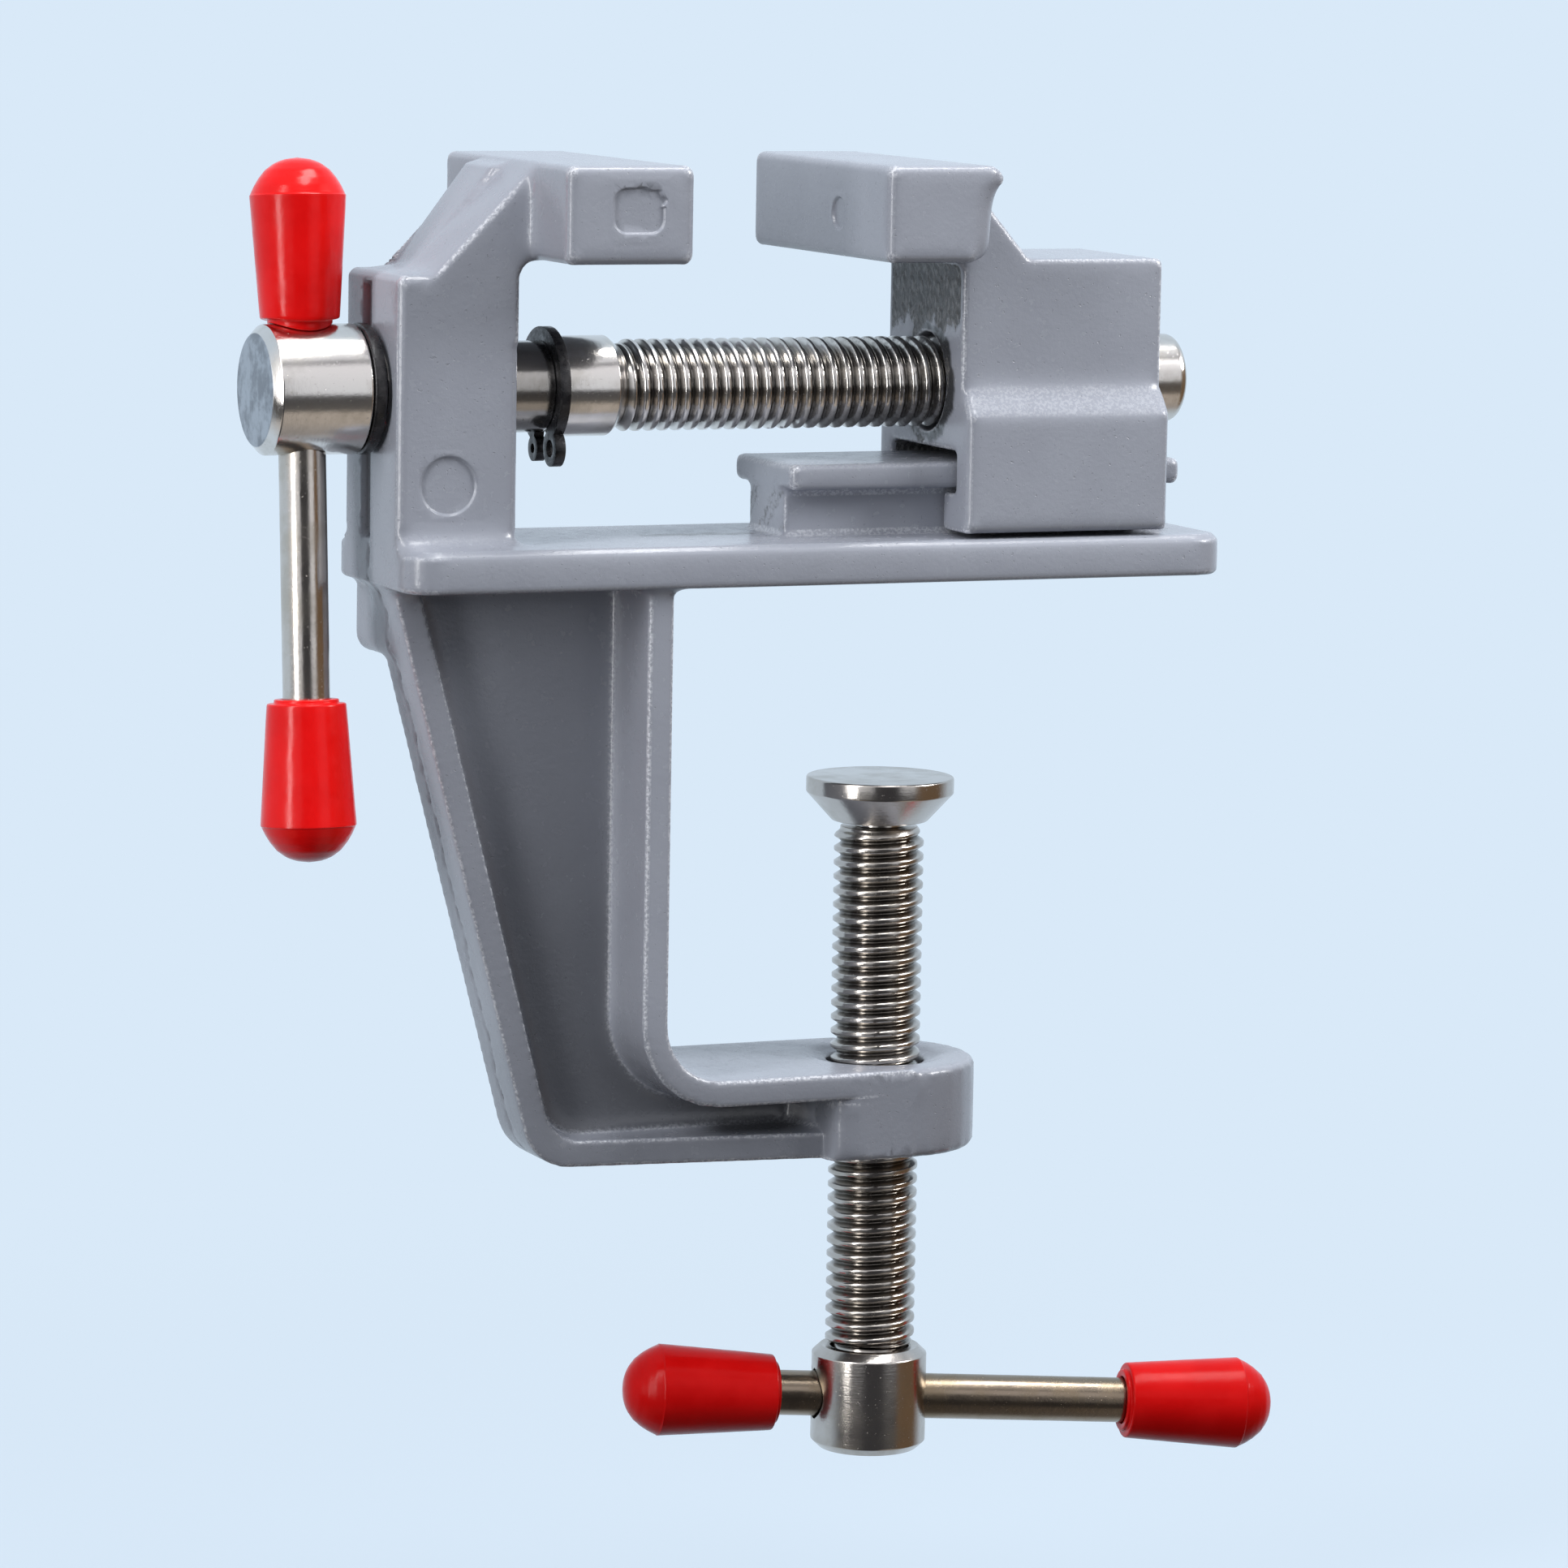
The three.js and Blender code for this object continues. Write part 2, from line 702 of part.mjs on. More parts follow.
function mainScrewHead() {
  const socket = journalDiameter / 2 - threadChamfer + journalGap;
  const hole = rod(barRadius + barHoleGap, -headDiameter, headDiameter, barSides)
    .translate([headRight - headBarOffset, 0, 0]);
  return alongX(screwHead(headDiameter, headLength, socket, headSocketDepth))
    .translate([headRight, 0, 0])
    .subtract(hole);
}

function thrustWasher() {
  const hole = journalDiameter / 2 + journalGap;
  const left = headRight + seatGap;
  return alongX(turned([
    [hole, left], [washerDiameter / 2, left],
    [washerDiameter / 2, left + washerThickness], [hole, left + washerThickness],
  ]));
}

// Open ring in the screw's groove, with a lug and a pliers hole at each end
function retainingRing() {
  const mouth = THREE.MathUtils.degToRad(ringMouthAngle / 2);
  const inner = ringGrooveRadius + seatGap;
  const outer = ringOuterDiameter / 2;
  const start = -Math.PI / 2 + mouth;
  const end = (3 * Math.PI) / 2 - mouth;
  const arc = new THREE.Shape();
  arc.absarc(0, 0, outer, start, end, false);
  arc.absarc(0, 0, inner, end, start, true);
  let ring = prismXY(arc, ringLeft, ringRight);
  for (const angle of [start, end]) {
    const reach = inner + ringLugRadius + (outer - inner) / 2;
    const place = [reach * Math.cos(angle), reach * Math.sin(angle), 0];
    const lug = rod(ringLugRadius, ringLeft, ringRight, barSides).translate(place);
    const hole = rod(ringLugHoleRadius, ringLeft - overrun, ringRight + overrun, barSides).translate(place);
    ring = ring.add(lug).subtract(hole);
  }
  return ring.subtract(rod(inner, ringLeft - overrun, ringRight + overrun)).rotate([90, 0, 90]);
}

// Handle bar along Z, its middle at the origin
function handleBar() {
  const half = barLength / 2;
  const chamfer = barRadius / 5;
  return turned([
    [0, -half], [barRadius - chamfer, -half], [barRadius, chamfer - half],
    [barRadius, half - chamfer], [barRadius - chamfer, half], [0, half],
  ], barSides);
}

// Soft cap with its mouth at the origin and its dome up
function handleCap() {
  const domeRadiusShares = [1, 0.82, 0.68, 0.5, 0.27, 0];
  const domeHeightShares = [0, 0.45, 0.67, 0.84, 0.96, 1];
  const bore = barRadius + capBoreGap;
  const mouth = capMouthDiameter / 2;
  const shoulder = capShoulderDiameter / 2;
  const dome = domeRadiusShares.map((share, i) => [
    share * shoulder,
    capLength - capDomeHeight * (1 - domeHeightShares[i]),
  ]);
  return turned([
    [0, capBoreDepth],
    [bore, capBoreDepth],
    [bore, 0],
    [mouth + capLip, 0],
    [mouth + capLip, capLipHeight],
    [mouth, capLipHeight + capLip],
    ...dome,
  ], barSides);
}

// Swivel pad that presses on the table's underside, open below for the screw
function clampPad() {
  const button = swivelButtonDiameter / 2 + swivelGap;
  const neck = swivelNeckDiameter / 2 + swivelGap;
  const lip = padHeight - padFloor - swivelButtonHeight - 2 * swivelGap;
  const radius = padDiameter / 2;
  return turned([
    [0, -padFloor],
    [button, -padFloor],
    [button, lip - padHeight],
    [neck, lip - padHeight],
    [neck, -padHeight],
    [button + overrun, -padHeight],
    [radius, -padRimHeight],
    [radius, -seatGap],
    [radius - seatGap, 0],
    [0, 0],
  ]).translate([0, 0, -clampGap]);
}

// Clamp screw along Z: swivel button and neck, then thread down to its head
function clampScrewRod() {
  const buttonTop = -clampGap - padFloor - swivelGap;
  const buttonFoot = buttonTop - swivelButtonHeight;
  const threadTop = buttonFoot - swivelNeckHeight - swivelGap;
  const root = threadDiameter / 2 - threadDepth;
  const foot = clampHeadTopZ - clampSocketDepth + swivelGap;
  const tip = turned([
    [0, threadTop - overrun],
    [root, threadTop - overrun],
    [root, threadTop - threadChamfer / 2],
    [swivelNeckDiameter / 2, threadTop],
    [swivelNeckDiameter / 2, buttonFoot],
    [swivelButtonDiameter / 2, buttonFoot],
    [swivelButtonDiameter / 2, buttonTop],
    [0, buttonTop],
  ]);
  const spigot = rod(root, foot, clampHeadTopZ + threadChamfer);
  return tip
    .add(threadedRod(clampHeadTopZ + seatGap, threadTop))
    .add(spigot);
}

function clampScrewHead() {
  const socket = threadDiameter / 2 - threadDepth + journalGap;
  return screwHead(clampHeadDiameter, clampHeadHeight, socket, clampSocketDepth)
    .translate([0, 0, clampHeadTopZ])
    .subtract(clampBarHole());
}

// Direction of the clamp bar from its left cap to its right cap
const clampTurn = THREE.MathUtils.degToRad(clampBarTurn);
const clampDroop = THREE.MathUtils.degToRad(clampBarDroop);

function clampBarHole() {
  return rod(barRadius + barHoleGap, -clampHeadDiameter, clampHeadDiameter, barSides)
    .rotate([0, 90 + clampBarDroop, -clampBarTurn])
    .translate([0, 0, clampBarZ]);
}

function material(color, roughness, metalness) {
  return new THREE.MeshStandardMaterial({ color, roughness, metalness, flatShading: true });
}

const paint = material(0x8f939c, 0.42, 0.1);
const nickel = material(0xc9c2b4, 0.22, 1);
const blackSteel = material(0x1c1c1f, 0.4, 0.7);
const redCap = material(0xe01512, 0.25, 0);

function piece(name, solid, surface) {
  const mesh = new THREE.Mesh(toGeometry(solid), surface);
  mesh.name = name;
  return mesh;
}

// Bar with a cap on each end, along Z, its middle at the group's origin
function handle(barName, upperName, lowerName) {
  const group = new THREE.Group();
  const upper = piece(upperName, handleCap(), redCap);
  const lower = piece(lowerName, handleCap(), redCap);
  upper.position.z = barExposedLength / 2;
  lower.position.z = -barExposedLength / 2;
  lower.rotation.x = Math.PI;
  group.add(piece(barName, handleBar(), nickel), upper, lower);
  return group;
}

// Everything that turns with the main screw, leaned as its bar hangs
function mainScrew() {
  const group = new THREE.Group();
  const bar = handle('main_handle_bar', 'main_cap_upper', 'main_cap_lower');
  bar.position.set(headRight - headBarOffset, 0, headDiameter / 2 + seatGap - barExposedLength / 2);
  group.add(
    piece('main_screw_rod', alongX(mainScrewRod()), nickel),
    piece('main_screw_head', mainScrewHead(), nickel),
    piece('thrust_washer', thrustWasher(), blackSteel),
    piece('retaining_ring', retainingRing(), blackSteel),
    bar,
  );
  group.position.z = screwZ;
  group.rotation.x = -THREE.MathUtils.degToRad(mainBarLean);
  return group;
}

// Clamp screw with its head, swivel pad and sliding bar
function tableClamp() {
  const group = new THREE.Group();
  const bar = handle('clamp_handle_bar', 'clamp_cap_right', 'clamp_cap_left');
  const direction = new THREE.Vector3(
    Math.cos(clampTurn) * Math.cos(clampDroop),
    -Math.sin(clampTurn) * Math.cos(clampDroop),
    -Math.sin(clampDroop),
  );
  bar.rotation.set(0, Math.PI / 2 + clampDroop, -clampTurn, 'ZYX');
  bar.position.set(0, 0, clampBarZ).addScaledVector(direction, clampBarShift);
  group.add(
    piece('clamp_screw_rod', clampScrewRod(), nickel),
    piece('clamp_screw_head', clampScrewHead(), nickel),
    piece('clamp_pad', clampPad(), nickel),
    bar,
  );
  return group;
}

const vise = new THREE.Group();
vise.add(
  piece('frame_casting', frameCasting(), paint),
  piece('moving_jaw', movingJaw(), paint),
  mainScrew(),
  tableClamp(),
);

export default vise;
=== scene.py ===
"""Mini bench vise that clamps on a table edge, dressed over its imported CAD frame.

Shapes are worked out in millimetres in the row frame and written in metres.
"""
import math

import bmesh
import bpy
import numpy as np
from mathutils import Matrix, Vector


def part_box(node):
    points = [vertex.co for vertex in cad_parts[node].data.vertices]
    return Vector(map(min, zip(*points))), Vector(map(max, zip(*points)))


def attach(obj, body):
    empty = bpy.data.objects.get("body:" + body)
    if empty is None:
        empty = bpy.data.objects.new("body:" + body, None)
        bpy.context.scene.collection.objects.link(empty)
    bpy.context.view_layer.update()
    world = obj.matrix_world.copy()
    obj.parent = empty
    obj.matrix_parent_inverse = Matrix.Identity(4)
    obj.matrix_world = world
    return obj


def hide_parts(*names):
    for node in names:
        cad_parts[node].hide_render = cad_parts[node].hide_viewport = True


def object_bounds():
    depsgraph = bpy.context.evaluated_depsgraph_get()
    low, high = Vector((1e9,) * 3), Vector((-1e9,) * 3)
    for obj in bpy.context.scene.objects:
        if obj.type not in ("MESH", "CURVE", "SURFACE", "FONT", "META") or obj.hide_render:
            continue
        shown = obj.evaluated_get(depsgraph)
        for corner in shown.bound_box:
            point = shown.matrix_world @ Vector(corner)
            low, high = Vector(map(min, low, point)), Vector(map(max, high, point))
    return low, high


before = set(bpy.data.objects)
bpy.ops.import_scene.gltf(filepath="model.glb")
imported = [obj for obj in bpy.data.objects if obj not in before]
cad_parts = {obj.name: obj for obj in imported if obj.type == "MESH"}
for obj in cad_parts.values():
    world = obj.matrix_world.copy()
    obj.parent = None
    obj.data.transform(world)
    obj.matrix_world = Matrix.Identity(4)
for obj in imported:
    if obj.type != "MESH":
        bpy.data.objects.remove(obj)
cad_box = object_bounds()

MM = 0.001
TINY = 1e-9

# Camera of the photograph: yaw, pitch and roll in degrees, place in millimetres
CAMERA_TURNS = (-23.1, -7.69, 1.0)
CAMERA_PLACE = (-233.56, -526.08, 58.82)
CAMERA_FOCAL_PIXELS = 8149.72
PHOTO_PIXELS = 1932
SENSOR = 36.0
CLIP_START, CLIP_END = 0.01, 20

# Box of each CAD node, and what is read from it
BOX = {node: tuple(np.array(corner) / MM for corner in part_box(node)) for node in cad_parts}


def ends(node, axis):
    """Lowest and highest place of a CAD node along an axis."""
    return [float(corner[axis]) for corner in BOX[node]]


SCREW_Z = sum(ends("main_screw_head", 2)) / 2
HEAD_LEFT, HEAD_RIGHT = ends("main_screw_head", 0)
SCREW_END = ends("main_screw_rod", 0)[1]
RING_LEFT, RING_RIGHT = ends("retaining_ring", 0)
WASHER_LEFT, WASHER_RIGHT = ends("thrust_washer", 0)
CLAMP_HEAD_BOTTOM, CLAMP_HEAD_TOP = ends("clamp_screw_head", 2)
PAD_TOP = ends("clamp_pad", 2)[1]
PLATE_LEFT = ends("frame_casting", 0)[0]

# Places on the two castings
PLATE_TOP = 3.65
COLUMN_RIGHT, COLUMN_TOP, COLUMN_FRONT = -36.8, 26.55, -6.75
FIXED_LEFT, SLOPE_TOP = -35.8, 35.4
RAIL_LEFT, RAIL_TOP = -11.7, 10.1
BODY_LEFT, BODY_TOP, JAW_TOP = 3.45, 27.7, 36.05
JAW_END, JAW_FACE = -15.0, -6.75
SLOT_HALF = 4.4
ARM_TOP, FLANGE_UNDER, THROAT = -42.7, -45.05, 23.3
BORE_REACH = 5.3
BOSS_RADIUS, BOSS_RING_REACH = 8.8, 6.4

# Skin of a casting: voxel, steps of each smoothing pass, share of one step
VOXEL = 0.26
SOFTEN_STEPS, FILLET_STEPS, BLEND_STEPS, ROUND_STEPS, IRON_STEPS = 2, 30, 140, 2, 16
EDGE_STEPS, NORMALS_EVERY = 6, 4
STEP_SHARE = 0.5
FLAT_BEND, ROUND_BEND = 0.006, 0.014
CAST_TRIANGLES = 180_000

# Threads of both screws
PITCH = 1.25
THREAD_RADIUS = 3.95
THREAD_DEPTH = 0.58
THREAD_SIDES = 72
ROWS_PER_TURN = 14
ROOT_SHARE, FLANK_SHARE = 0.06, 0.3
THREAD_FADE = 0.8
THREAD_LEFT, THREAD_RIGHT = -26.0, 22.15
CLAMP_THREAD_TOP = -22.4

# Turned pieces
TURNED_SIDES = 96
SEAT_GAP = 0.1
JOURNAL_RADIUS, COLLAR_RADIUS = 3.9, 4.3
RING_GROOVE_DEPTH = 0.45
HEAD_RADIUS, CLAMP_HEAD_RADIUS = 5.5, 5.1
HEAD_SOCKET, CLAMP_SOCKET = (3.35, 2.6), (3.48, 2.0)
HEAD_CHAMFER, CLAMP_CHAMFER = (0.8, 0.75), (0.75, 0.7)

# Handle bars and their caps
BAR_RADIUS, BAR_HOLE_RADIUS = 2.0, 2.25
BAR_EXPOSED, BAR_LENGTH = 31.6, 49.0
MAIN_BAR_X, MAIN_BAR_SHIFT, MAIN_BAR_LEAN = -53.85, -10.2, 4.4
CLAMP_BAR_Z, CLAMP_BAR_SHIFT = -73.5, 7.4
CLAMP_BAR_AXIS = (0.97833, -0.20082, -0.05059)
LEAN = math.radians(MAIN_BAR_LEAN)
MAIN_BAR_AXIS = (0, math.sin(LEAN), math.cos(LEAN))
CAP_LENGTH, CAP_BORE = 13.8, 9.0
CAP_MOUTH, CAP_SHOULDER, CAP_DOME = 3.35, 4.05, 3.15
CAP_RIM, CAP_STEP = 2.75, 0.35


def shaded(mesh, smooth_angle=None):
    """Shades a mesh smooth; edges sharper than smooth_angle stay sharp."""
    mesh.shade_smooth()
    if smooth_angle:
        mesh.set_sharp_from_angle(angle=math.radians(smooth_angle))


def linked(name, data):
    obj = bpy.data.objects.new(name, data)
    bpy.context.scene.collection.objects.link(obj)
    return obj


def new_object(name, points, faces, smooth_angle=None):
    """Object of points in millimetres."""
    mesh = bpy.data.meshes.new(name)
    mesh.from_pydata([tuple(p) for p in np.asarray(points) * MM], [], faces)
    mesh.validate()
    mesh.update()
    shaded(mesh, smooth_angle)
    return linked(name, mesh)


def standing(origin, direction, side=(0, 1, 0)):
    """Matrix of a place whose local Z lies along direction."""
    z = Vector(direction).normalized()
    x = Vector(side).cross(z).normalized()
    matrix = Matrix((x, z.cross(x), z)).transposed().to_4x4()
    matrix.translation = Vector(origin)
    return np.array(matrix)


def moved(points, matrix):
    return np.asarray(points) @ matrix[:3, :3].T + matrix[:3, 3]


def rounded(profile, radius, steps=4):
    """The open profile with each inner corner turned into an arc."""
    longest, straight = 0.45, 0.02
    points = [np.array(p, float) for p in profile]
    out = [points[0]]
    for before, corner, after in zip(points, points[1:], points[2:]):
        a, b = before - corner, after - corner
        la, lb = np.linalg.norm(a), np.linalg.norm(b)
        a, b = a / la, b / lb
        half = math.acos(np.clip(a @ b, -1, 1)) / 2
        reach = min(radius / max(math.tan(half), 1e-6), longest * la, longest * lb)
        if math.pi / 2 - half < straight:
            out.append(corner)
            continue
        start, end = corner + a * reach, corner + b * reach
        for k in range(steps + 1):
            t = k / steps
            out.append((1 - t) ** 2 * start + 2 * t * (1 - t) * corner + t ** 2 * end)
    out.append(points[-1])
    return out


def turned(name, rows, sides, place, smooth_angle, closed=False):
    """Solid around an axis. A row has one radius, or one for each side, and its height.

    A row on the axis closes an end, and closed joins the last row to the first."""
    angles = np.linspace(0, 2 * np.pi, sides, endpoint=False)
    points, rings, faces = [], [], []
    for radius, height in rows:
        around = sides if np.max(radius) > TINY else 1
        rings.append(range(len(points), len(points) + around))
        radii = np.broadcast_to(radius, sides)[:around]
        points += [(r * math.cos(a), r * math.sin(a), height) for r, a in zip(radii, angles)]
    if closed:
        rings.append(rings[0])
    for low, high in zip(rings, rings[1:]):
        for i in range(sides):
            j = (i + 1) % sides
            if len(low) == 1:
                faces.append((low[0], high[j], high[i]))
            elif len(high) == 1:
                faces.append((low[i], low[j], high[0]))
            else:
                faces.append((low[i], low[j], high[j], high[i]))
    return new_object(name, moved(points, place), faces, smooth_angle)


def lathe(name, profile, place, sides=TURNED_SIDES):
    """Turned solid of a profile of radius and height.

    It starts and ends on the axis, or stays off it as a closed outline."""
    return turned(name, profile, sides, place, 40, closed=profile[0][0] > TINY)


def threaded(name, profile, thread, place):
    """Turned solid whose surface carries a right-hand thread between two heights."""
    (first, last), fade = thread, THREAD_FADE
    step = PITCH / ROWS_PER_TURN
    rows = []
    for (r0, z0), (r1, z1) in zip(profile, profile[1:]):
        inside = z1 > z0 and first - fade <= (z0 + z1) / 2 <= last + fade
        count = max(1, round((z1 - z0) / step)) if inside else 1
        rows += [(r0 + (r1 - r0) * k / count, z0 + (z1 - z0) * k / count) for k in range(count)]
    rows.append(profile[-1])
    angles = np.linspace(0, 2 * np.pi, THREAD_SIDES, endpoint=False)

    def grooved(radius, height):
        if radius < TINY:
            return radius
        amount = np.clip(min((height - first), (last - height)) / fade + 0.5, 0, 1)
        phase = (height / PITCH - angles / (2 * np.pi)) % 1
        groove = 1 - np.clip((np.abs(phase - 0.5) - ROOT_SHARE) / FLANK_SHARE, 0, 1)
        return radius - THREAD_DEPTH * amount * groove

    rows = [(grooved(radius, height), height) for radius, height in rows]
    return turned(name, rows, THREAD_SIDES, place, 50)


def prism(name, outline, height, place):
    """Straight solid on a flat outline that runs anticlockwise."""
    count = len(outline)
    points = [(x, y, z) for z in (0, height) for x, y in outline]
    faces = [tuple(range(count - 1, -1, -1)), tuple(range(count, 2 * count))]
    faces += [(i, (i + 1) % count, (i + 1) % count + count, i + count) for i in range(count)]
    return new_object(name, moved(points, place), faces, 40)


def applied(obj, kind, **settings):
    """Applies a modifier and keeps the result."""
    modifier = obj.modifiers.new(kind.lower(), kind)
    for key, value in settings.items():
        setattr(modifier, key, value)
    bpy.context.view_layer.update()
    shape = obj.evaluated_get(bpy.context.evaluated_depsgraph_get())
    mesh = bpy.data.meshes.new_from_object(shape)
    obj.modifiers.clear()
    old, obj.data = obj.data, mesh
    bpy.data.meshes.remove(old)


def joined(obj, operation, tool):
    """Adds the tool to the object or takes it away, and deletes the tool."""
    applied(obj, "BOOLEAN", operation=operation, solver="EXACT", object=tool)
    bpy.data.objects.remove(tool)


def cut(obj, tool):
    joined(obj, "DIFFERENCE", tool)
    shaded(obj.data, 38)
    return obj


def cad_skin(node):
    """Even quad skin of a CAD node, in millimetres: points and faces."""
    weld = 1e-4
    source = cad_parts[node].data
    points = np.empty(len(source.vertices) * 3, np.float32)
    source.vertices.foreach_get("co", points)
    faces = [tuple(p.vertices) for p in source.polygons]
    # One unit of this mesh is a millimetre, so new_object's scale is taken out first
    obj = new_object(node + "_skin", points.reshape(-1, 3) / MM / MM, faces)
    shape = bmesh.new()
    shape.from_mesh(obj.data)
    bmesh.ops.remove_doubles(shape, verts=shape.verts, dist=weld)
    shape.to_mesh(obj.data)
    shape.free()
    applied(obj, "REMESH", mode="VOXEL", voxel_size=VOXEL, adaptivity=0.0)
    mesh = obj.data
    points = np.empty(len(mesh.vertices) * 3)
    mesh.vertices.foreach_get("co", points)
    quads = np.empty(len(mesh.loops), np.int32)
    mesh.loops.foreach_get("vertex_index", quads)
    bpy.data.objects.remove(obj)
    bpy.data.meshes.remove(mesh)
    return points.reshape(-1, 3), quads.reshape(-1, 4)


def vertex_normals(points, quads):
    a, b, c, d = (points[quads[:, k]] for k in range(4))
    face = np.cross(c - a, d - b)
    total = np.zeros_like(points)
    for k in range(4):
        for axis in range(3):
            total[:, axis] += np.bincount(quads[:, k], face[:, axis], len(points))
    return total / np.maximum(np.linalg.norm(total, axis=1, keepdims=True), 1e-12)


def ease(value, low, high):
    """Smooth step from 0 at low to 1 at high."""
    t = np.clip((value - low) / (high - low), 0, 1)
    return t * t * (3 - 2 * t)


def band(value, low, high, soft):
    """1 between low and high, fading to 0 over soft outside them."""
    return ease(value, low - soft, low) * (1 - ease(value, high, high + soft))


def wander(value, seed, size):
    """Smooth seeded noise along one coordinate, about -1 to 1."""
    octaves, finer, fainter = 4, 1.9, 0.6
    total = np.zeros_like(value)
    rng = np.random.default_rng(seed)
    for octave in range(octaves):
        wave, turn = size / finer ** octave, rng.uniform(0, 2 * np.pi)
        total += np.sin(2 * np.pi * value / wave + turn) * fainter ** octave
    return total / 2


def relaxed(points, quads, fillet_share, blend_share):
    """Fills the inner corners, rounds all edges, and irons out the voxel steps of the flats.

    Where blend_share is above 0, forms run into each other over a wide radius.
    Returns the points, their normals and how far each point stands out of its surroundings."""
    pairs = np.concatenate([quads[:, [k, (k + 1) % 4]] for k in range(4)])
    edges = np.unique(np.sort(pairs, axis=1), axis=0)
    degree = np.bincount(edges.ravel(), minlength=len(points)).astype(float)

    def pull(values):
        """From each point to the middle of its neighbours."""
        total = np.zeros_like(values)
        for axis in range(values.shape[1]):
            total[:, axis] = np.bincount(edges[:, 0], values[edges[:, 1], axis], len(values))
            total[:, axis] += np.bincount(edges[:, 1], values[edges[:, 0], axis], len(values))
        return total / degree[:, None] - values

    def pulled(values, steps, share=STEP_SHARE):
        for _ in range(steps):
            values = values + share * pull(values)
        return values

    points = pulled(points, SOFTEN_STEPS)
    for step in range(FILLET_STEPS):
        if step % NORMALS_EVERY == 0:
            normals = vertex_normals(points, quads)
        move = pull(points)
        inner = (np.einsum("ij,ij->i", move, normals) > 0) * fillet_share
        points = points + STEP_SHARE * inner[:, None] * move
    points = pulled(points, BLEND_STEPS, STEP_SHARE * blend_share[:, None])
    points = pulled(points, ROUND_STEPS)
    for step in range(IRON_STEPS):
        if step % NORMALS_EVERY == 0:
            normals = vertex_normals(points, quads)
            bend = np.abs(np.einsum("ij,ij->i", pull(points), normals))
            bend = pulled(bend[:, None], SOFTEN_STEPS)[:, 0]
            flat = STEP_SHARE * (1 - ease(bend, FLAT_BEND, ROUND_BEND))[:, None]
        points = pulled(points, 1, flat)
    normals = vertex_normals(points, quads)
    edge = np.einsum("ij,ij->i", points - pulled(points, EDGE_STEPS), normals)
    return points, normals, edge


# A mark's depth, and how far from its plane and its border it takes hold of the face
MARK_DEPTH, MARK_GRIP = 0.25, 0.4
MARK_EDGE, MARK_BORDER = (-0.06, 0.14), (0.6, 0.1)
# Place and reach of each mark, and the radius of the round ones
COLUMN_MARK, JAW_MARK = ((-43.05, 8.9), 3.4, 2.5), ((-4.04, 31.5), 2.2, 1.4)
END_MARK = ((-29.45, 32.28), 3.1)


def stamp(obj, axis, plane, centre, reach, outline):
    """Presses a mark into a flat face that looks down the axis.

    outline gives the distance inside the mark's edge, from the two other coordinates."""
    others = [k for k in range(3) if k != axis]
    shape = bmesh.new()
    shape.from_mesh(obj.data)

    def near(co):
        return (abs(co[axis] / MM - plane) < MARK_GRIP
                and all(abs(co[k] / MM - c) < reach for k, c in zip(others, centre)))

    edges = [e for e in shape.edges if near(e.verts[0].co) and near(e.verts[1].co)]
    bmesh.ops.subdivide_edges(shape, edges=edges, cuts=2, use_grid_fill=True)
    border = [reach - inset for inset in MARK_BORDER]
    for vert in shape.verts:
        if near(vert.co):
            a, b = (vert.co[k] / MM - c for k, c in zip(others, centre))
            share = 1 - ease(max(abs(a), abs(b)), *border)
            depth = MARK_DEPTH * ease(outline(a, b), *MARK_EDGE)
            flat = vert.co[axis] / MM
            vert.co[axis] = (flat + share * (plane + depth - flat)) * MM
    shape.to_mesh(obj.data)
    shape.free()


def round_mark(place, reach, radius):
    return place, reach, lambda a, b: radius - math.hypot(a, b)


def end_mark(a, b):
    """Distance inside a rounded rectangle whose upper right corner is ragged."""
    half_a, half_b, corner = 2.3, 1.9, 1.2
    ripple, right_of, above = 0.2, -0.4, 0.3
    waves = math.sin(3.1 * a + 1) * math.sin(6.3 * b + 2.5)
    ragged = ripple * waves * (b > above) * (a > right_of)
    over_a, over_b = max(abs(a) - half_a + corner, 0), max(abs(b) - half_b + corner, 0)
    inside = min(half_a - abs(a), half_b - abs(b))
    return ragged + min(inside, corner - math.hypot(over_a, over_b))


def cast_object(name, points, quads, layers, stamps):
    """Casting's object with the attributes that its paint reads and its sunken marks."""
    obj = new_object(name, points, quads.tolist())
    for key, values in layers.items():
        layer = obj.data.attributes.new(key, "FLOAT", "POINT")
        layer.data.foreach_set("value", values.astype(np.float32))
    for axis, plane, centre, reach, outline in stamps:
        stamp(obj, axis, plane, centre, reach, outline)
    triangles = sum(len(face.vertices) - 2 for face in obj.data.polygons)
    if triangles > CAST_TRIANGLES:
        applied(obj, "DECIMATE", ratio=CAST_TRIANGLES / triangles)
    shaded(obj.data)
    return obj


# Boss squared on its left: half width along X, front half depth, and where that fades
BOSS_BLOCK, BOSS_FRONT, BOSS_POWER = 7.6, 9.0, 8
BOSS_RIM, BOSS_UNDER, BOSS_SIDE, BOSS_START = (1.2, 0.6), (0.4, 0.9), (-7, -1), -8


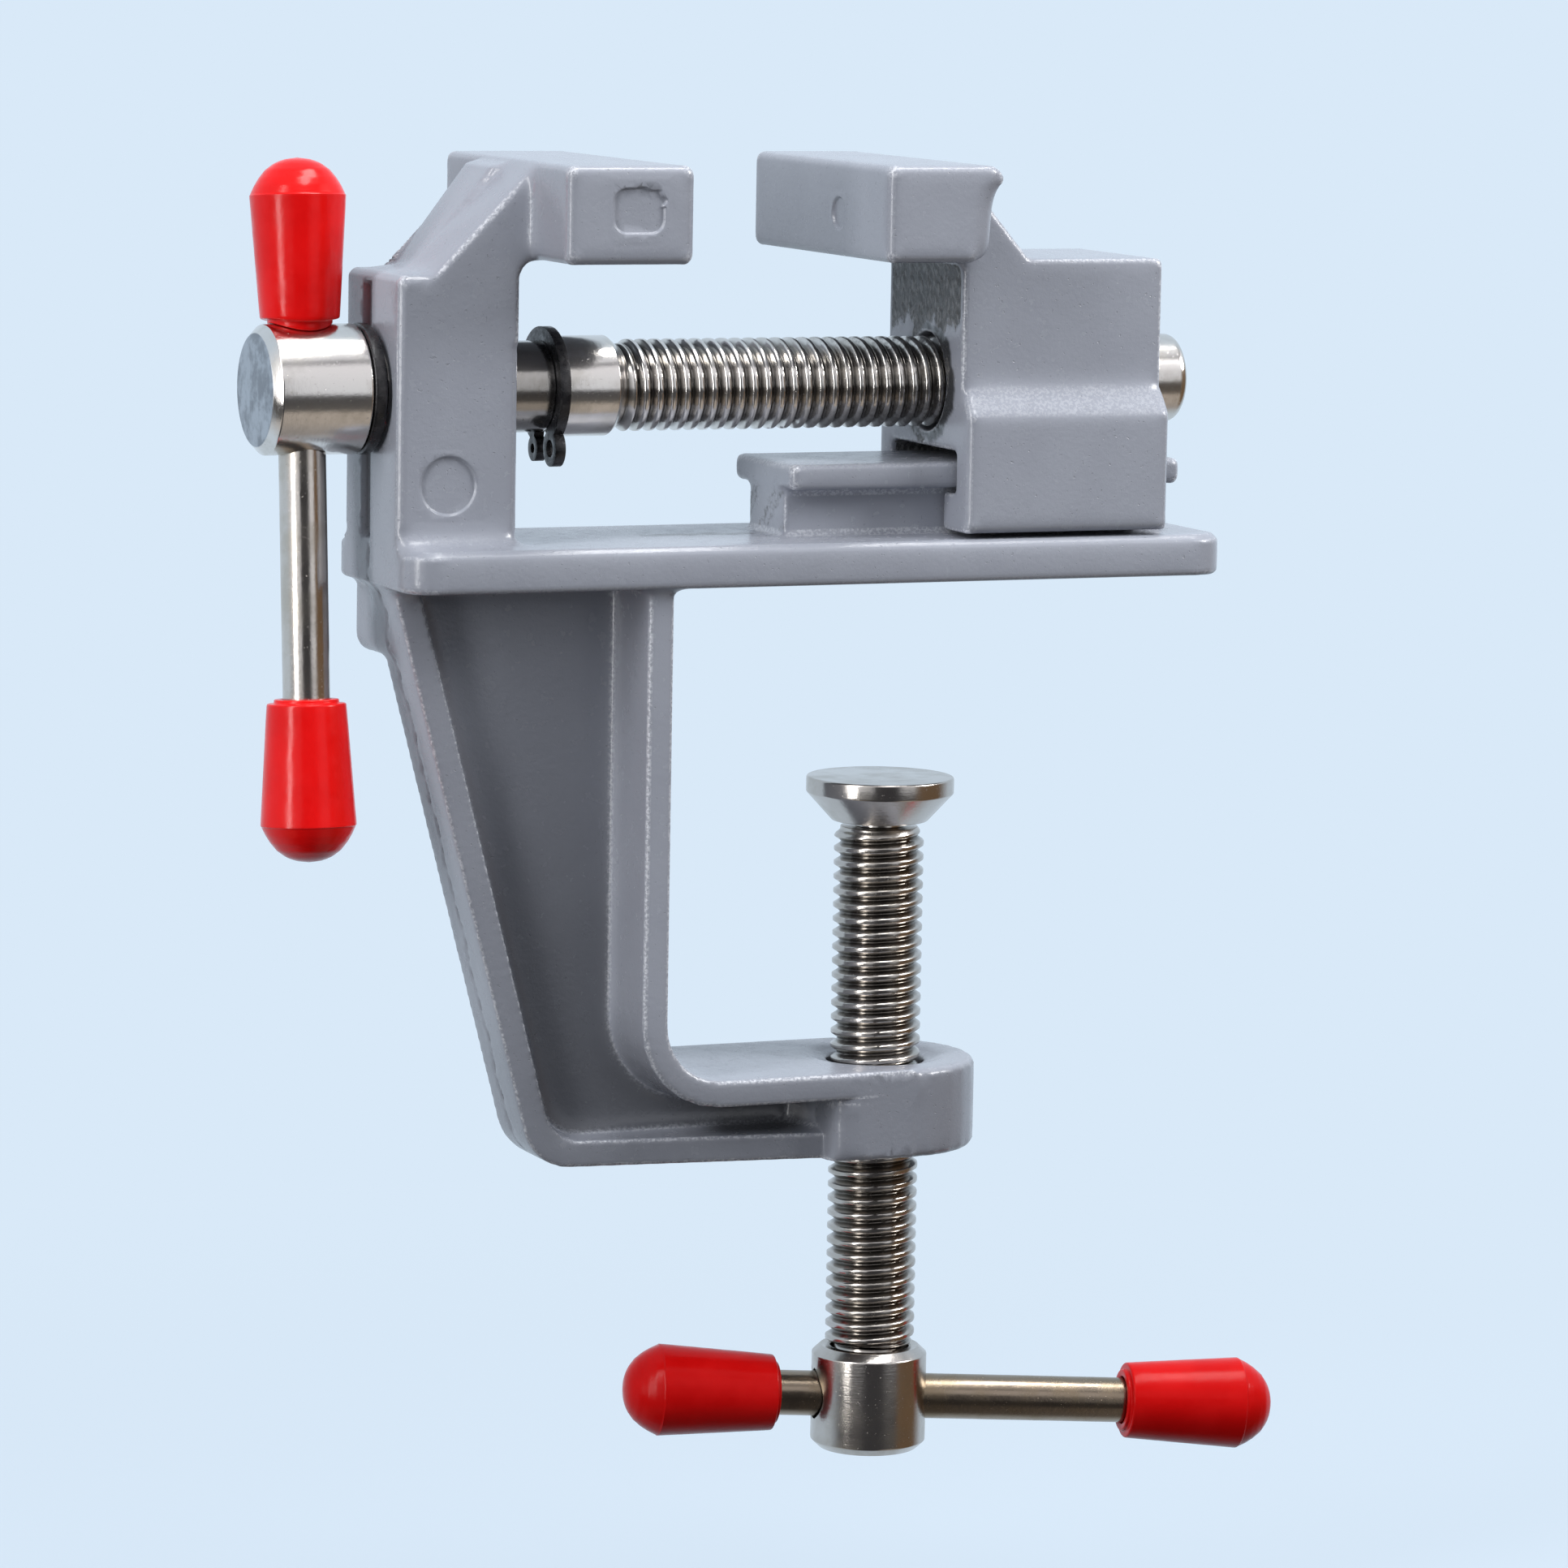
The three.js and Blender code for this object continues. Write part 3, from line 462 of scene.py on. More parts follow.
def squared_boss(points):
    """Squares the boss's left side below the arm's top flange, where the pocket ends."""
    x, y, z = points.T
    radius = np.maximum(np.hypot(x, y), 1e-6)
    wide, deep = np.abs(x / radius) / BOSS_BLOCK, np.abs(y / radius) / BOSS_FRONT
    outline = (wide ** BOSS_POWER + deep ** BOSS_POWER) ** (-1 / BOSS_POWER)
    share = ease(radius, *(BOSS_RADIUS - inset for inset in BOSS_RIM)) * (x < 0)
    share *= 1 - ease(z, *(FLANGE_UNDER + rise for rise in BOSS_UNDER))
    grown = radius + share * np.maximum(outline - BOSS_RADIUS, 0)
    scale = np.minimum(grown, np.maximum(outline, radius)) / radius
    limit = BOSS_FRONT - (BOSS_FRONT - BOSS_RADIUS) * ease(x, *BOSS_SIDE)
    limit = np.where((x > BOSS_START) & (z < ARM_TOP + 1), limit, np.inf)
    return np.stack([x * scale, np.clip(y * scale, -limit, limit), z], axis=1)


# Fillets of the frame on the rail, and the soft run at the foot of the gusset
RAIL_FILLET = 0.15
RUN_SHARE, RUN_HALF, RUN_HEIGHT = 0.35, 5.5, 2.5
RUN_ENDS = (1.5, 1)


def frame_shares(points):
    """How far each point of the frame takes part in the fillets and in the blend."""
    x, y, z = points.T
    in_bores = (np.hypot(y, z - SCREW_Z) < BORE_REACH) & (x < COLUMN_RIGHT + 1)
    in_bores |= (np.hypot(x, y) < BOSS_RING_REACH) & (z < ARM_TOP + 1)
    on_rail = (x > RAIL_LEFT - 1) & (z > PLATE_TOP - 0.5) & (z < RAIL_TOP + 1)
    fillets = np.where(in_bores, 0.0, np.where(on_rail, RAIL_FILLET, 1.0))
    foot = band(x, PLATE_LEFT + RUN_ENDS[0], COLUMN_RIGHT - RUN_ENDS[1], 1)
    foot *= band(z, COLUMN_TOP, COLUMN_TOP + RUN_HEIGHT, 1)
    return fillets, RUN_SHARE * foot * (np.abs(y) < RUN_HALF)


# Cosines between which a face comes to count as looking left, up or along the slope
LEFT_LOOK, UP_LOOK, SLOPE_LOOK = (0.55, 0.85), (0.8, 0.95), (1.1, 1.3)

# Groove down the column's left face: across Y with its soft edge, and its ends
GROOVE_DEPTH = 0.55
GROOVE_ACROSS = (0.45, 1.85, 0.35)
GROOVE_FOOT, GROOVE_HEAD, GROOVE_SOFT = 0.6, 1.2, 0.5
GROOVE_SKIN = 1.2

# Seam of the die: place across Y, sway, half width, soft edge, and how it comes and goes
SEAM_DEPTH = 0.22
SEAM_Y, SEAM_SWAY, SEAM_HALF, SEAM_SOFT = 0.35, 0.4, 0.05, 0.2
SEAM_LEVEL, SEAM_CHANGE = 0.4, 0.4
SEAM_TOP, SEAM_BEHIND_THROAT = 0.8, 4

# Step along the gusset's slope: place across Y, sway, line, and its shift at foot and head
STEP_Y, STEP_SWAY, STEP_HALF, STEP_SOFT, STEP_LINE = -0.3, 0.16, 0.1, 0.22, 0.15
STEP_RISE = (-0.3, 0.5)
STEP_ENDS = (0.4, 0.2, 0.6)
FOOT_SHIFT, HEAD_SHIFT = 0.8, -1.1
SLOPE_EDGES = (-0.1, 0.3)


def frame_relief(place, normals):
    """Groove, seam and stepped slope of the frame: new points, groove layer, seam layer."""
    x, y, z = place.T
    faces_left = ease(-normals[:, 0], *LEFT_LOOK)
    wall = band(y, *GROOVE_ACROSS)
    wall *= band(z, PLATE_TOP + GROOVE_FOOT, COLUMN_TOP - GROOVE_HEAD, GROOVE_SOFT)
    groove = faces_left * wall * (x < PLATE_LEFT + GROOVE_SKIN)

    line = SEAM_Y + SEAM_SWAY * wander(z, seed=3, size=9.0)
    thin = band(y, line - SEAM_HALF, line + SEAM_HALF, SEAM_SOFT)
    thin *= (SEAM_LEVEL + SEAM_CHANGE * wander(z, seed=8, size=2.6))
    below = faces_left * (z < PLATE_TOP + SEAM_TOP) * (x < -THROAT - SEAM_BEHIND_THROAT)

    slope = ease(normals[:, 2] - normals[:, 0], *SLOPE_LOOK) * (z > COLUMN_TOP - 0.5)
    slope *= 1 - ease(np.abs(y), *(inset - COLUMN_FRONT for inset in SLOPE_EDGES))
    line = STEP_Y + STEP_SWAY * wander(z, seed=5, size=3.0)
    on_slope = slope * band(y, line - STEP_HALF, line + STEP_HALF, STEP_SOFT)
    on_slope *= (x < FIXED_LEFT + 0.5)
    seam = np.clip(below * thin * (1 - groove), 0, 1) + on_slope * STEP_LINE
    points = place - normals * (GROOVE_DEPTH * groove + SEAM_DEPTH * seam)[:, None]

    # The gusset's back half climbs more steeply than its front half
    raised = slope * ease(y, *(line + start for start in STEP_RISE))
    climb = np.clip((z - COLUMN_TOP) / (SLOPE_TOP - COLUMN_TOP), 0, 1)
    low, high, soft = STEP_ENDS
    ends = band(z, COLUMN_TOP + low, SLOPE_TOP - high, soft)
    points[:, 0] += raised * ends * (FOOT_SHIFT + (HEAD_SHIFT - FOOT_SHIFT) * climb)
    return points, groove, seam


# Dark streak painted on the plate left of the rail, along X and across Y, each with its soft edge
DARK_STREAK_ALONG, DARK_STREAK_ACROSS, DARK_STREAK_SWAY = (-22.5, -13, 1.0), (-0.7, 0.9, 0.3), 0.3
# Rough end of the rail: heights over the plate and under the top, soft edge, reach
RAIL_END = (0.6, 2.6, 0.4, 1.5)
# Painted shade in the hollows, at the pocket's end and on the lower arm: distance from the web or
# heights below the plate between which it fades
RECESS_ACROSS, RECESS_TOP, RECESS_RIGHT, RECESS_LOOK = (1.6, 4.6), -0.5, -5, (0.4, 0.9)
RECESS_DEPTHS, ARM_DEPTHS, ARM_LOOK = (4, 36), (34, 44), (0.4, 0.8)
POCKET_ALONG, POCKET_ACROSS, POCKET_ROOF = (-15, -8, 3), (2.5, 5.5), 0.3
# Strength of each; the rail's sheen is a painted sheen and those of the next line are painted shade
ROUGH_TONE, DARK_STREAK_TONE, GROOVE_TONE, RAIL_PAINTED_SHEEN = 0.45, 0.8, 0.55, 0.25
ARM_PAINTED_SHADE, POCKET_PAINTED_SHADE, RECESS_PAINTED_SHADE, RECESS_LOW_PAINTED_SHADE = 0.26, 0.75, 0.14, 0.46


def frame_tones(place, normals, groove, seam):
    """Layers of the frame's paint: rough spots, dark seams, groove and streak, painted shade in
    hollows and on the lower arm, painted sheen on the rail.
    """
    x, y, z = place.T
    faces_left = ease(-normals[:, 0], *LEFT_LOOK)
    up = ease(normals[:, 2], *UP_LOOK)
    foot, head, soft, reach = RAIL_END
    dark = band(z, PLATE_TOP + foot, RAIL_TOP - head, soft) * faces_left
    dark *= (np.abs(x - RAIL_LEFT) < reach)
    dark *= ease(wander(y + z, seed=12, size=5.0), -0.3, 0.3)
    sway = DARK_STREAK_SWAY * wander(x, seed=14, size=4.0)
    dark_streak = band(x, *DARK_STREAK_ALONG) * band(y + sway, *DARK_STREAK_ACROSS)
    dark_streak = DARK_STREAK_TONE * dark_streak * up * (np.abs(z - PLATE_TOP) < 0.5)

    # Painted shade: darker in the recess, toward the bottom of the arm and at the pocket's end
    inside = (1 - ease(np.abs(y), *RECESS_ACROSS)) * (z < RECESS_TOP) * (x < RECESS_RIGHT)
    inside *= ease(np.abs(normals[:, 1]), *RECESS_LOOK)
    low = ARM_PAINTED_SHADE * ease(-z, *ARM_DEPTHS) * (1 - ease(normals[:, 2], *ARM_LOOK))
    deep = RECESS_PAINTED_SHADE + RECESS_LOW_PAINTED_SHADE * ease(-z, *RECESS_DEPTHS)
    end = band(x, *POCKET_ALONG) * (1 - ease(np.abs(y), *POCKET_ACROSS))
    end = POCKET_PAINTED_SHADE * end * (z < FLANGE_UNDER + POCKET_ROOF)

    # Painted sheen on the rail's top
    on_top = ease(z, RAIL_TOP - 0.6, RAIL_TOP - 0.2) * (z < RAIL_TOP + 1)
    return {
        "rough": ROUGH_TONE * dark,
        "seam": np.clip(seam + GROOVE_TONE * groove + dark_streak, 0, 1),
        "shade": np.maximum(np.maximum(low, inside * deep), end),
        "sheen": RAIL_PAINTED_SHEEN * up * ((x > RAIL_LEFT - 0.5) * on_top),
    }


def frame_skin():
    """The fixed casting with cast edges, parting seam, groove and sunken marks."""
    points, quads = cad_skin("frame_casting")
    points, normals, edge = relaxed(points, quads, *frame_shares(points))
    place = squared_boss(points)
    normals = vertex_normals(place, quads)
    points, groove, seam = frame_relief(place, normals)
    layers = {"edge": edge, **frame_tones(place, normals, groove, seam)}
    stamps = (
        (1, COLUMN_FRONT, *round_mark(*COLUMN_MARK)),
        (1, JAW_END, *END_MARK, end_mark),
    )
    return cast_object("frame_casting_skin", points, quads, layers, stamps)


# Moving jaw: fillets by the bead, and the soft run from the bar's end into the gusset
BEAD_FILLET, BEAD_FOOT = 0.2, 3
JAW_RUN = (0.5, 2.6, 1.2)
JAW_RUN_START, JAW_RUN_FRONT = (1.0, 2.6), -8.3
# Rough patch under the bar: lower edge, its sway, half width; chips round the bore; grease
PATCH_EDGE, PATCH_SWAY, PATCH_HALF = (20.5, 22.5), 1.2, 7.2
CHIP_EDGE, CHIP_SWAY, CHIP_TONE = (4.9, 5.4), 0.5, 0.8
GREASE_EDGE, GREASE_SWAY, GREASE_FRONT, GREASE_TONE = (4.8, 5.15), 0.3, 0.22, 0.92
ROUGH_RELIEF, JAW_PAINTED_SHEEN = 0.07, 0.24


def moving_jaw_skin():
    """The moving jaw's casting with its rough patch under the bar, painted shade in its slot,
    painted sheen on its slopes and grease by the screw.
    """
    points, quads = cad_skin("moving_jaw")
    x, y, z = points.T
    in_slot = (np.abs(y) < SLOT_HALF + 0.8) & (z < RAIL_TOP + 2.2)
    in_bore = np.hypot(y, z - SCREW_Z) < BORE_REACH
    by_bead = (x > BODY_LEFT - 0.4) & (z > BODY_TOP + BEAD_FOOT)
    share = np.where(in_bore | in_slot, 0.0, np.where(by_bead, BEAD_FILLET, 1.0))
    low, high, soft = JAW_RUN
    run = band(z, BODY_TOP + low, JAW_TOP - high, soft) * ease(x, *JAW_RUN_START)
    points, normals, edge = relaxed(points, quads, share, run * (y < JAW_RUN_FRONT))

    x, y, z = points.T
    under = ease(-normals[:, 0], 0.7, 0.95) * (np.abs(x - BODY_LEFT) < 0.8)
    height = z + PATCH_SWAY * wander(y, seed=4, size=5.0)
    patch = under * ease(height, *PATCH_EDGE) * (np.abs(y) < PATCH_HALF)
    # Painted shade inside the slot over the rail, carried in the rough layer
    slot_shade = (np.abs(y) < 7.3) & (z < RAIL_TOP + 1.6) & (x > BODY_LEFT + 0.4)
    radius, turn = np.hypot(y, z - SCREW_Z), np.arctan2(y, z - SCREW_Z)
    ragged = radius + CHIP_SWAY * wander(turn, seed=6, size=1.3)
    chips = under * (1 - ease(ragged, *CHIP_EDGE)) * CHIP_TONE
    rough = np.clip(patch + chips + slot_shade, 0, 1)
    uneven = 1 + 2 * wander(y, seed=9, size=1.7) * wander(z, seed=10, size=1.3)
    points = points - normals * (ROUGH_RELIEF * rough * uneven)[:, None]
    # Painted sheen on slopes that face up and to the front
    sheen = band(normals[:, 2], 0.35, 0.8, 0.12) * ease(-normals[:, 1], 0.2, 0.4)
    # Black grease pressed out of the nut, more of it toward the front
    rim = radius + GREASE_FRONT * y + GREASE_SWAY * wander(turn, seed=15, size=0.9)
    grease = GREASE_TONE * under * (1 - ease(rim, *GREASE_EDGE))
    layers = {"edge": edge, "rough": rough * (1 - grease), "sheen": JAW_PAINTED_SHEEN * sheen,
              "shade": grease}
    stamps = ((0, JAW_FACE, *round_mark(*JAW_MARK)),)
    return cast_object("moving_jaw_skin", points, quads, layers, stamps)


# Place on the main screw's axis whose heights are X of the row frame
ALONG_SCREW = standing((0, 0, SCREW_Z), (1, 0, 0))


def pin(radius, low, high):
    return [(0, low), (radius, low), (radius, high), (0, high)]


def hole_cutter(half, place):
    """Bar's cross hole with a small countersink at both ends."""
    sides, lip, over = 48, 0.22, 1
    flare = BAR_HOLE_RADIUS + lip
    upper = [(BAR_HOLE_RADIUS, half - lip), (flare, half), (flare + over, half + over),
             (0, half + over)]
    return lathe("cutter", [(r, -z) for r, z in upper[::-1]] + upper, place, sides)


def main_screw_rod():
    """Journal, ring groove, collar, thread and smooth tail."""
    root = THREAD_RADIUS - THREAD_DEPTH
    spigot, start = root - 0.1, HEAD_RIGHT - HEAD_SOCKET[1] + SEAT_GAP
    journal, collar = HEAD_RIGHT + SEAT_GAP, RING_RIGHT + SEAT_GAP
    groove = JOURNAL_RADIUS - RING_GROOVE_DEPTH
    chamfer, valley, crest, run_out = 0.7, 0.35, 1.1, 0.4
    left = rounded([
        (0, start), (spigot, start), (spigot, journal), (JOURNAL_RADIUS, journal),
        (JOURNAL_RADIUS, RING_LEFT), (groove, RING_LEFT), (groove, collar),
        (COLLAR_RADIUS, collar), (COLLAR_RADIUS, THREAD_LEFT - chamfer),
        (root + 0.04, THREAD_LEFT + valley), (THREAD_RADIUS, THREAD_LEFT + crest),
        (THREAD_RADIUS, THREAD_RIGHT - run_out),
    ], 0.12)
    right = rounded([
        (THREAD_RADIUS, THREAD_RIGHT - run_out / 2), (THREAD_RADIUS, THREAD_RIGHT),
        (JOURNAL_RADIUS, THREAD_RIGHT + SEAT_GAP), (JOURNAL_RADIUS, SCREW_END), (0, SCREW_END),
    ], 0.85, 8)
    span = (THREAD_LEFT + 0.9, THREAD_RIGHT - run_out)
    return threaded("main_rod", left + right, span, ALONG_SCREW)


def screw_head(name, span, radius, chamfer, socket, place, both_ends):
    """Turned head with a chamfered end or two and a socket for the rod."""
    (bottom, top), (inset, rise), (hole, depth) = span, chamfer, socket
    rim = [(radius, top - rise), (radius - inset, top)] if both_ends else [(radius, top)]
    return lathe(name, rounded([
        (0, bottom), (radius - inset, bottom), (radius, bottom + rise), *rim,
        (hole, top), (hole, top - depth), (0, top - depth),
    ], 0.22, 5), place)


def main_screw_head():
    span = (HEAD_LEFT, HEAD_RIGHT)
    head = screw_head("main_head", span, HEAD_RADIUS, HEAD_CHAMFER, HEAD_SOCKET, ALONG_SCREW, False)
    return cut(head, hole_cutter(HEAD_RADIUS, standing((MAIN_BAR_X, 0, SCREW_Z), MAIN_BAR_AXIS)))


def clamp_screw_rod():
    """Swivel button, neck and thread of the screw that clamps the table."""
    button, neck, root = 2.9, 2.1, THREAD_RADIUS - THREAD_DEPTH
    spigot, foot, seat, top = root - 0.04, CLAMP_HEAD_TOP - 1.7, PAD_TOP - 1.5, PAD_TOP - 2.6
    start, chamfer, fall, run_out = CLAMP_HEAD_TOP + SEAT_GAP, 0.4, 0.9, 0.5
    profile = rounded([
        (0, foot), (spigot, foot), (spigot, start), (THREAD_RADIUS, CLAMP_HEAD_TOP + chamfer),
        (THREAD_RADIUS, CLAMP_THREAD_TOP - fall), (root, CLAMP_THREAD_TOP),
        (neck, CLAMP_THREAD_TOP), (neck, top), (button, top), (button, seat), (0, seat),
    ], 0.1)
    span = (start, CLAMP_THREAD_TOP - run_out)
    return threaded("clamp_rod", profile, span, np.eye(4))


def clamp_screw_head():
    span, radius = (CLAMP_HEAD_BOTTOM, CLAMP_HEAD_TOP), CLAMP_HEAD_RADIUS
    head = screw_head("clamp_head", span, radius, CLAMP_CHAMFER, CLAMP_SOCKET, np.eye(4), True)
    return cut(head, hole_cutter(radius, standing((0, 0, CLAMP_BAR_Z), CLAMP_BAR_AXIS)))


def clamp_pad():
    """Round foot that swivels on the clamp screw's button."""
    rim, cavity, mouth, foot = 6.5, 3.2, 2.4, 4.2
    roof, flare, lip, bottom = (PAD_TOP - drop for drop in (1.2, 1.4, 2.9, 3.9))
    profile = [(0, roof)] + rounded([
        (0, roof), (cavity, roof), (cavity, lip), (mouth, lip), (mouth, bottom), (foot, bottom),
        (rim, flare), (rim, PAD_TOP), (0, PAD_TOP),
    ], 0.25, 5)[1:]
    return lathe("clamp_foot", profile, np.eye(4))


def thrust_washer():
    inner, outer = 4.05, 5.55
    left, right, middle = WASHER_LEFT, WASHER_RIGHT, (inner + outer) / 2
    profile = rounded([
        (middle, left), (outer, left), (outer, right), (inner, right), (inner, left),
        (middle, left),
    ], 0.25)
    return lathe("washer", profile[:-1], ALONG_SCREW)


def retaining_ring():
    """Split ring with two unequal round lugs and their plier holes."""
    inner, outer, reach = 3.55, 5.1, 5.675
    half_mouth = math.radians(21)
    arc_steps, lug_sides, hole_sides = 90, 40, 28
    place = standing((RING_LEFT, 0, SCREW_Z), (1, 0, 0), (0, math.cos(LEAN), -math.sin(LEAN)))
    thick = RING_RIGHT - RING_LEFT
    turns = np.linspace(half_mouth, 2 * np.pi - half_mouth, arc_steps)
    outline = [(outer * math.cos(t), outer * math.sin(t)) for t in turns]
    outline += [(inner * math.cos(t), inner * math.sin(t)) for t in turns[::-1]]
    ring = prism("ring", outline, thick, place)
    for side, lug, hole in ((1, 1.1, 0.42), (-1, 1.55, 0.75)):
        t = side * half_mouth
        spot = place @ np.array([reach * math.cos(t), reach * math.sin(t), 0, 1])
        at = standing(spot[:3], (1, 0, 0))
        joined(ring, "UNION", lathe("lug", pin(lug, 0, thick), at, lug_sides))
        cut(ring, lathe("cutter", pin(hole, -1, thick + 1), at, hole_sides))
    applied(ring, "BEVEL", width=0.13 * MM, segments=3, limit_method="ANGLE", angle_limit=0.7)
    shaded(ring.data, 50)
    return ring


def handle_bar(name, centre, axis):
    half, sides = BAR_LENGTH / 2, 64
    profile = rounded(pin(BAR_RADIUS, -half, half), 0.4, 5)
    return lathe(name, profile, standing(centre, axis), sides)


# A cap's dome: share of its height, share of its radius
DOME = ((0.0, 1.0), (0.06, 0.985), (0.25, 0.915), (0.45, 0.82), (0.67, 0.68), (0.84, 0.5),
        (0.93, 0.34), (0.98, 0.18), (1.0, 0.0))
DOME_STEPS = 22
CAP_SIDES = 72
SADDLE_HEIGHT, SADDLE_PRESS, SADDLE_GAP = 0.5, 0.1, 0.06


def cap(name, centre, axis, side, saddle=False):
    """Dipped end cap: tapered skirt, crease at the shoulder, dome and a small inner rim.

    A saddle presses the rim on the round head that it rests on."""
    axis = np.array(axis) * side
    mouth = np.array(centre) + axis * BAR_EXPOSED / 2
    shoulder, bore = CAP_LENGTH - CAP_DOME, BAR_RADIUS + SEAT_GAP
    flare, crease, dome_inset = 0.08, 0.15, 0.05
    profile = rounded([
        (0, CAP_BORE), (bore, CAP_BORE), (bore, 0), (CAP_RIM, 0), (CAP_RIM, CAP_STEP),
        (CAP_MOUTH, CAP_STEP), (CAP_MOUTH + flare, CAP_STEP + 1),
        (CAP_SHOULDER, shoulder - crease), (CAP_SHOULDER, shoulder),
    ], 0.22, 5)
    for share in np.linspace(0.02, 1, DOME_STEPS):
        radius = np.interp(share, *zip(*DOME)) if share < 0.99 else 0
        profile.append(((CAP_SHOULDER - dome_inset) * radius, shoulder + CAP_DOME * share))
    place = standing(mouth, axis)
    obj = lathe(name, profile, place, CAP_SIDES)
    if saddle:
        for vert in obj.data.vertices:
            local = np.linalg.inv(place) @ np.append(np.array(vert.co) / MM, 1)
            if local[2] < SADDLE_HEIGHT:
                across = (place[:3, :3] @ local[:3])[1]
                seat = math.sqrt(HEAD_RADIUS ** 2 - across ** 2) + SADDLE_GAP
                drop = (HEAD_RADIUS + SADDLE_PRESS - seat) * (1 - local[2] / SADDLE_HEIGHT)
                vert.co = Vector(np.array(vert.co) - axis * drop * MM)
    return obj


class Nodes:
    """Short way to build nodes."""

    def __init__(self, tree):
        self.tree = tree

    def node(self, kind, inputs=None, **settings):
        made = self.tree.nodes.new("ShaderNode" + kind)
        for key, value in settings.items():
            setattr(made, key, value)
        for key, value in (inputs or {}).items():
            self.feed(made.inputs[key], value)
        return made

    def feed(self, socket, value):
        if isinstance(value, bpy.types.NodeSocket):
            self.tree.links.new(value, socket)
        else:
            socket.default_value = value

    def ramp(self, value, low, high, to_low=0.0, to_high=1.0, curve="SMOOTHSTEP"):
        inputs = {"Value": value, "From Min": low, "From Max": high,
                  "To Min": to_low, "To Max": to_high}
        return self.node("MapRange", inputs, interpolation_type=curve).outputs[0]

    def math(self, operation, a, b):
        return self.node("Math", {0: a, 1: b}, operation=operation).outputs[0]

    def times(self, a, b):
        return self.math("MULTIPLY", a, b)

    def blend(self, share, a, b):
        share_socket, a_socket, b_socket, result = 0, 6, 7, 2  # of the colour mode
        inputs = {share_socket: share, a_socket: a, b_socket: b}
        return self.node("Mix", inputs, data_type="RGBA").outputs[result]


class Shader(Nodes):
    """Material whose surface is its Principled node."""

    def __init__(self, name):
        self.material = bpy.data.materials.new(name)
        self.material.use_nodes = True
        super().__init__(self.material.node_tree)
        self.surface = self.tree.nodes["Principled BSDF"]
        self.place = self.node("TexCoord").outputs["Object"]

    def noise(self, size, detail=3, rough=0.55, stretch=None):
        """Noise of a wave length in millimetres, drawn out by stretch along X, Y and Z."""
        place = self.place
        if stretch:
            scaled = {"Vector": place, "Scale": tuple(1 / s for s in stretch)}
            place = self.node("Mapping", scaled).outputs["Vector"]
        inputs = {"Vector": place, "Scale": 1 / (size * MM), "Detail": detail, "Roughness": rough}
        return self.node("TexNoise", inputs).outputs["Fac"]

    def mark(self, name):
        return self.node("Attribute", attribute_name=name).outputs["Fac"]

    def bump(self, height, depth, under=None):
        inputs = {"Height": height, "Distance": depth * MM, "Strength": 1.0}
        if under:
            inputs["Normal"] = under
        return self.node("Bump", inputs).outputs["Normal"]

    def length(self, vector):
        return self.node("VectorMath", {0: vector}, operation="LENGTH").outputs["Value"]

    def finish(self, **inputs):
        for key, value in inputs.items():
            self.feed(self.surface.inputs[key.replace("_", " ")], value)
        return self.material


PAINT_DARK, PAINT_LIGHT = (0.285, 0.302, 0.35, 1), (0.298, 0.316, 0.365, 1)
PAINT_GLINT, SEAM_DARK = (0.86, 0.88, 0.93, 1), (0.075, 0.062, 0.062, 1)
BLUE_CAST = 1.06


def grey(level):
    """Slightly blue grey."""
    return (level, level * (1 + (BLUE_CAST - 1) / 2), level * BLUE_CAST, 1)


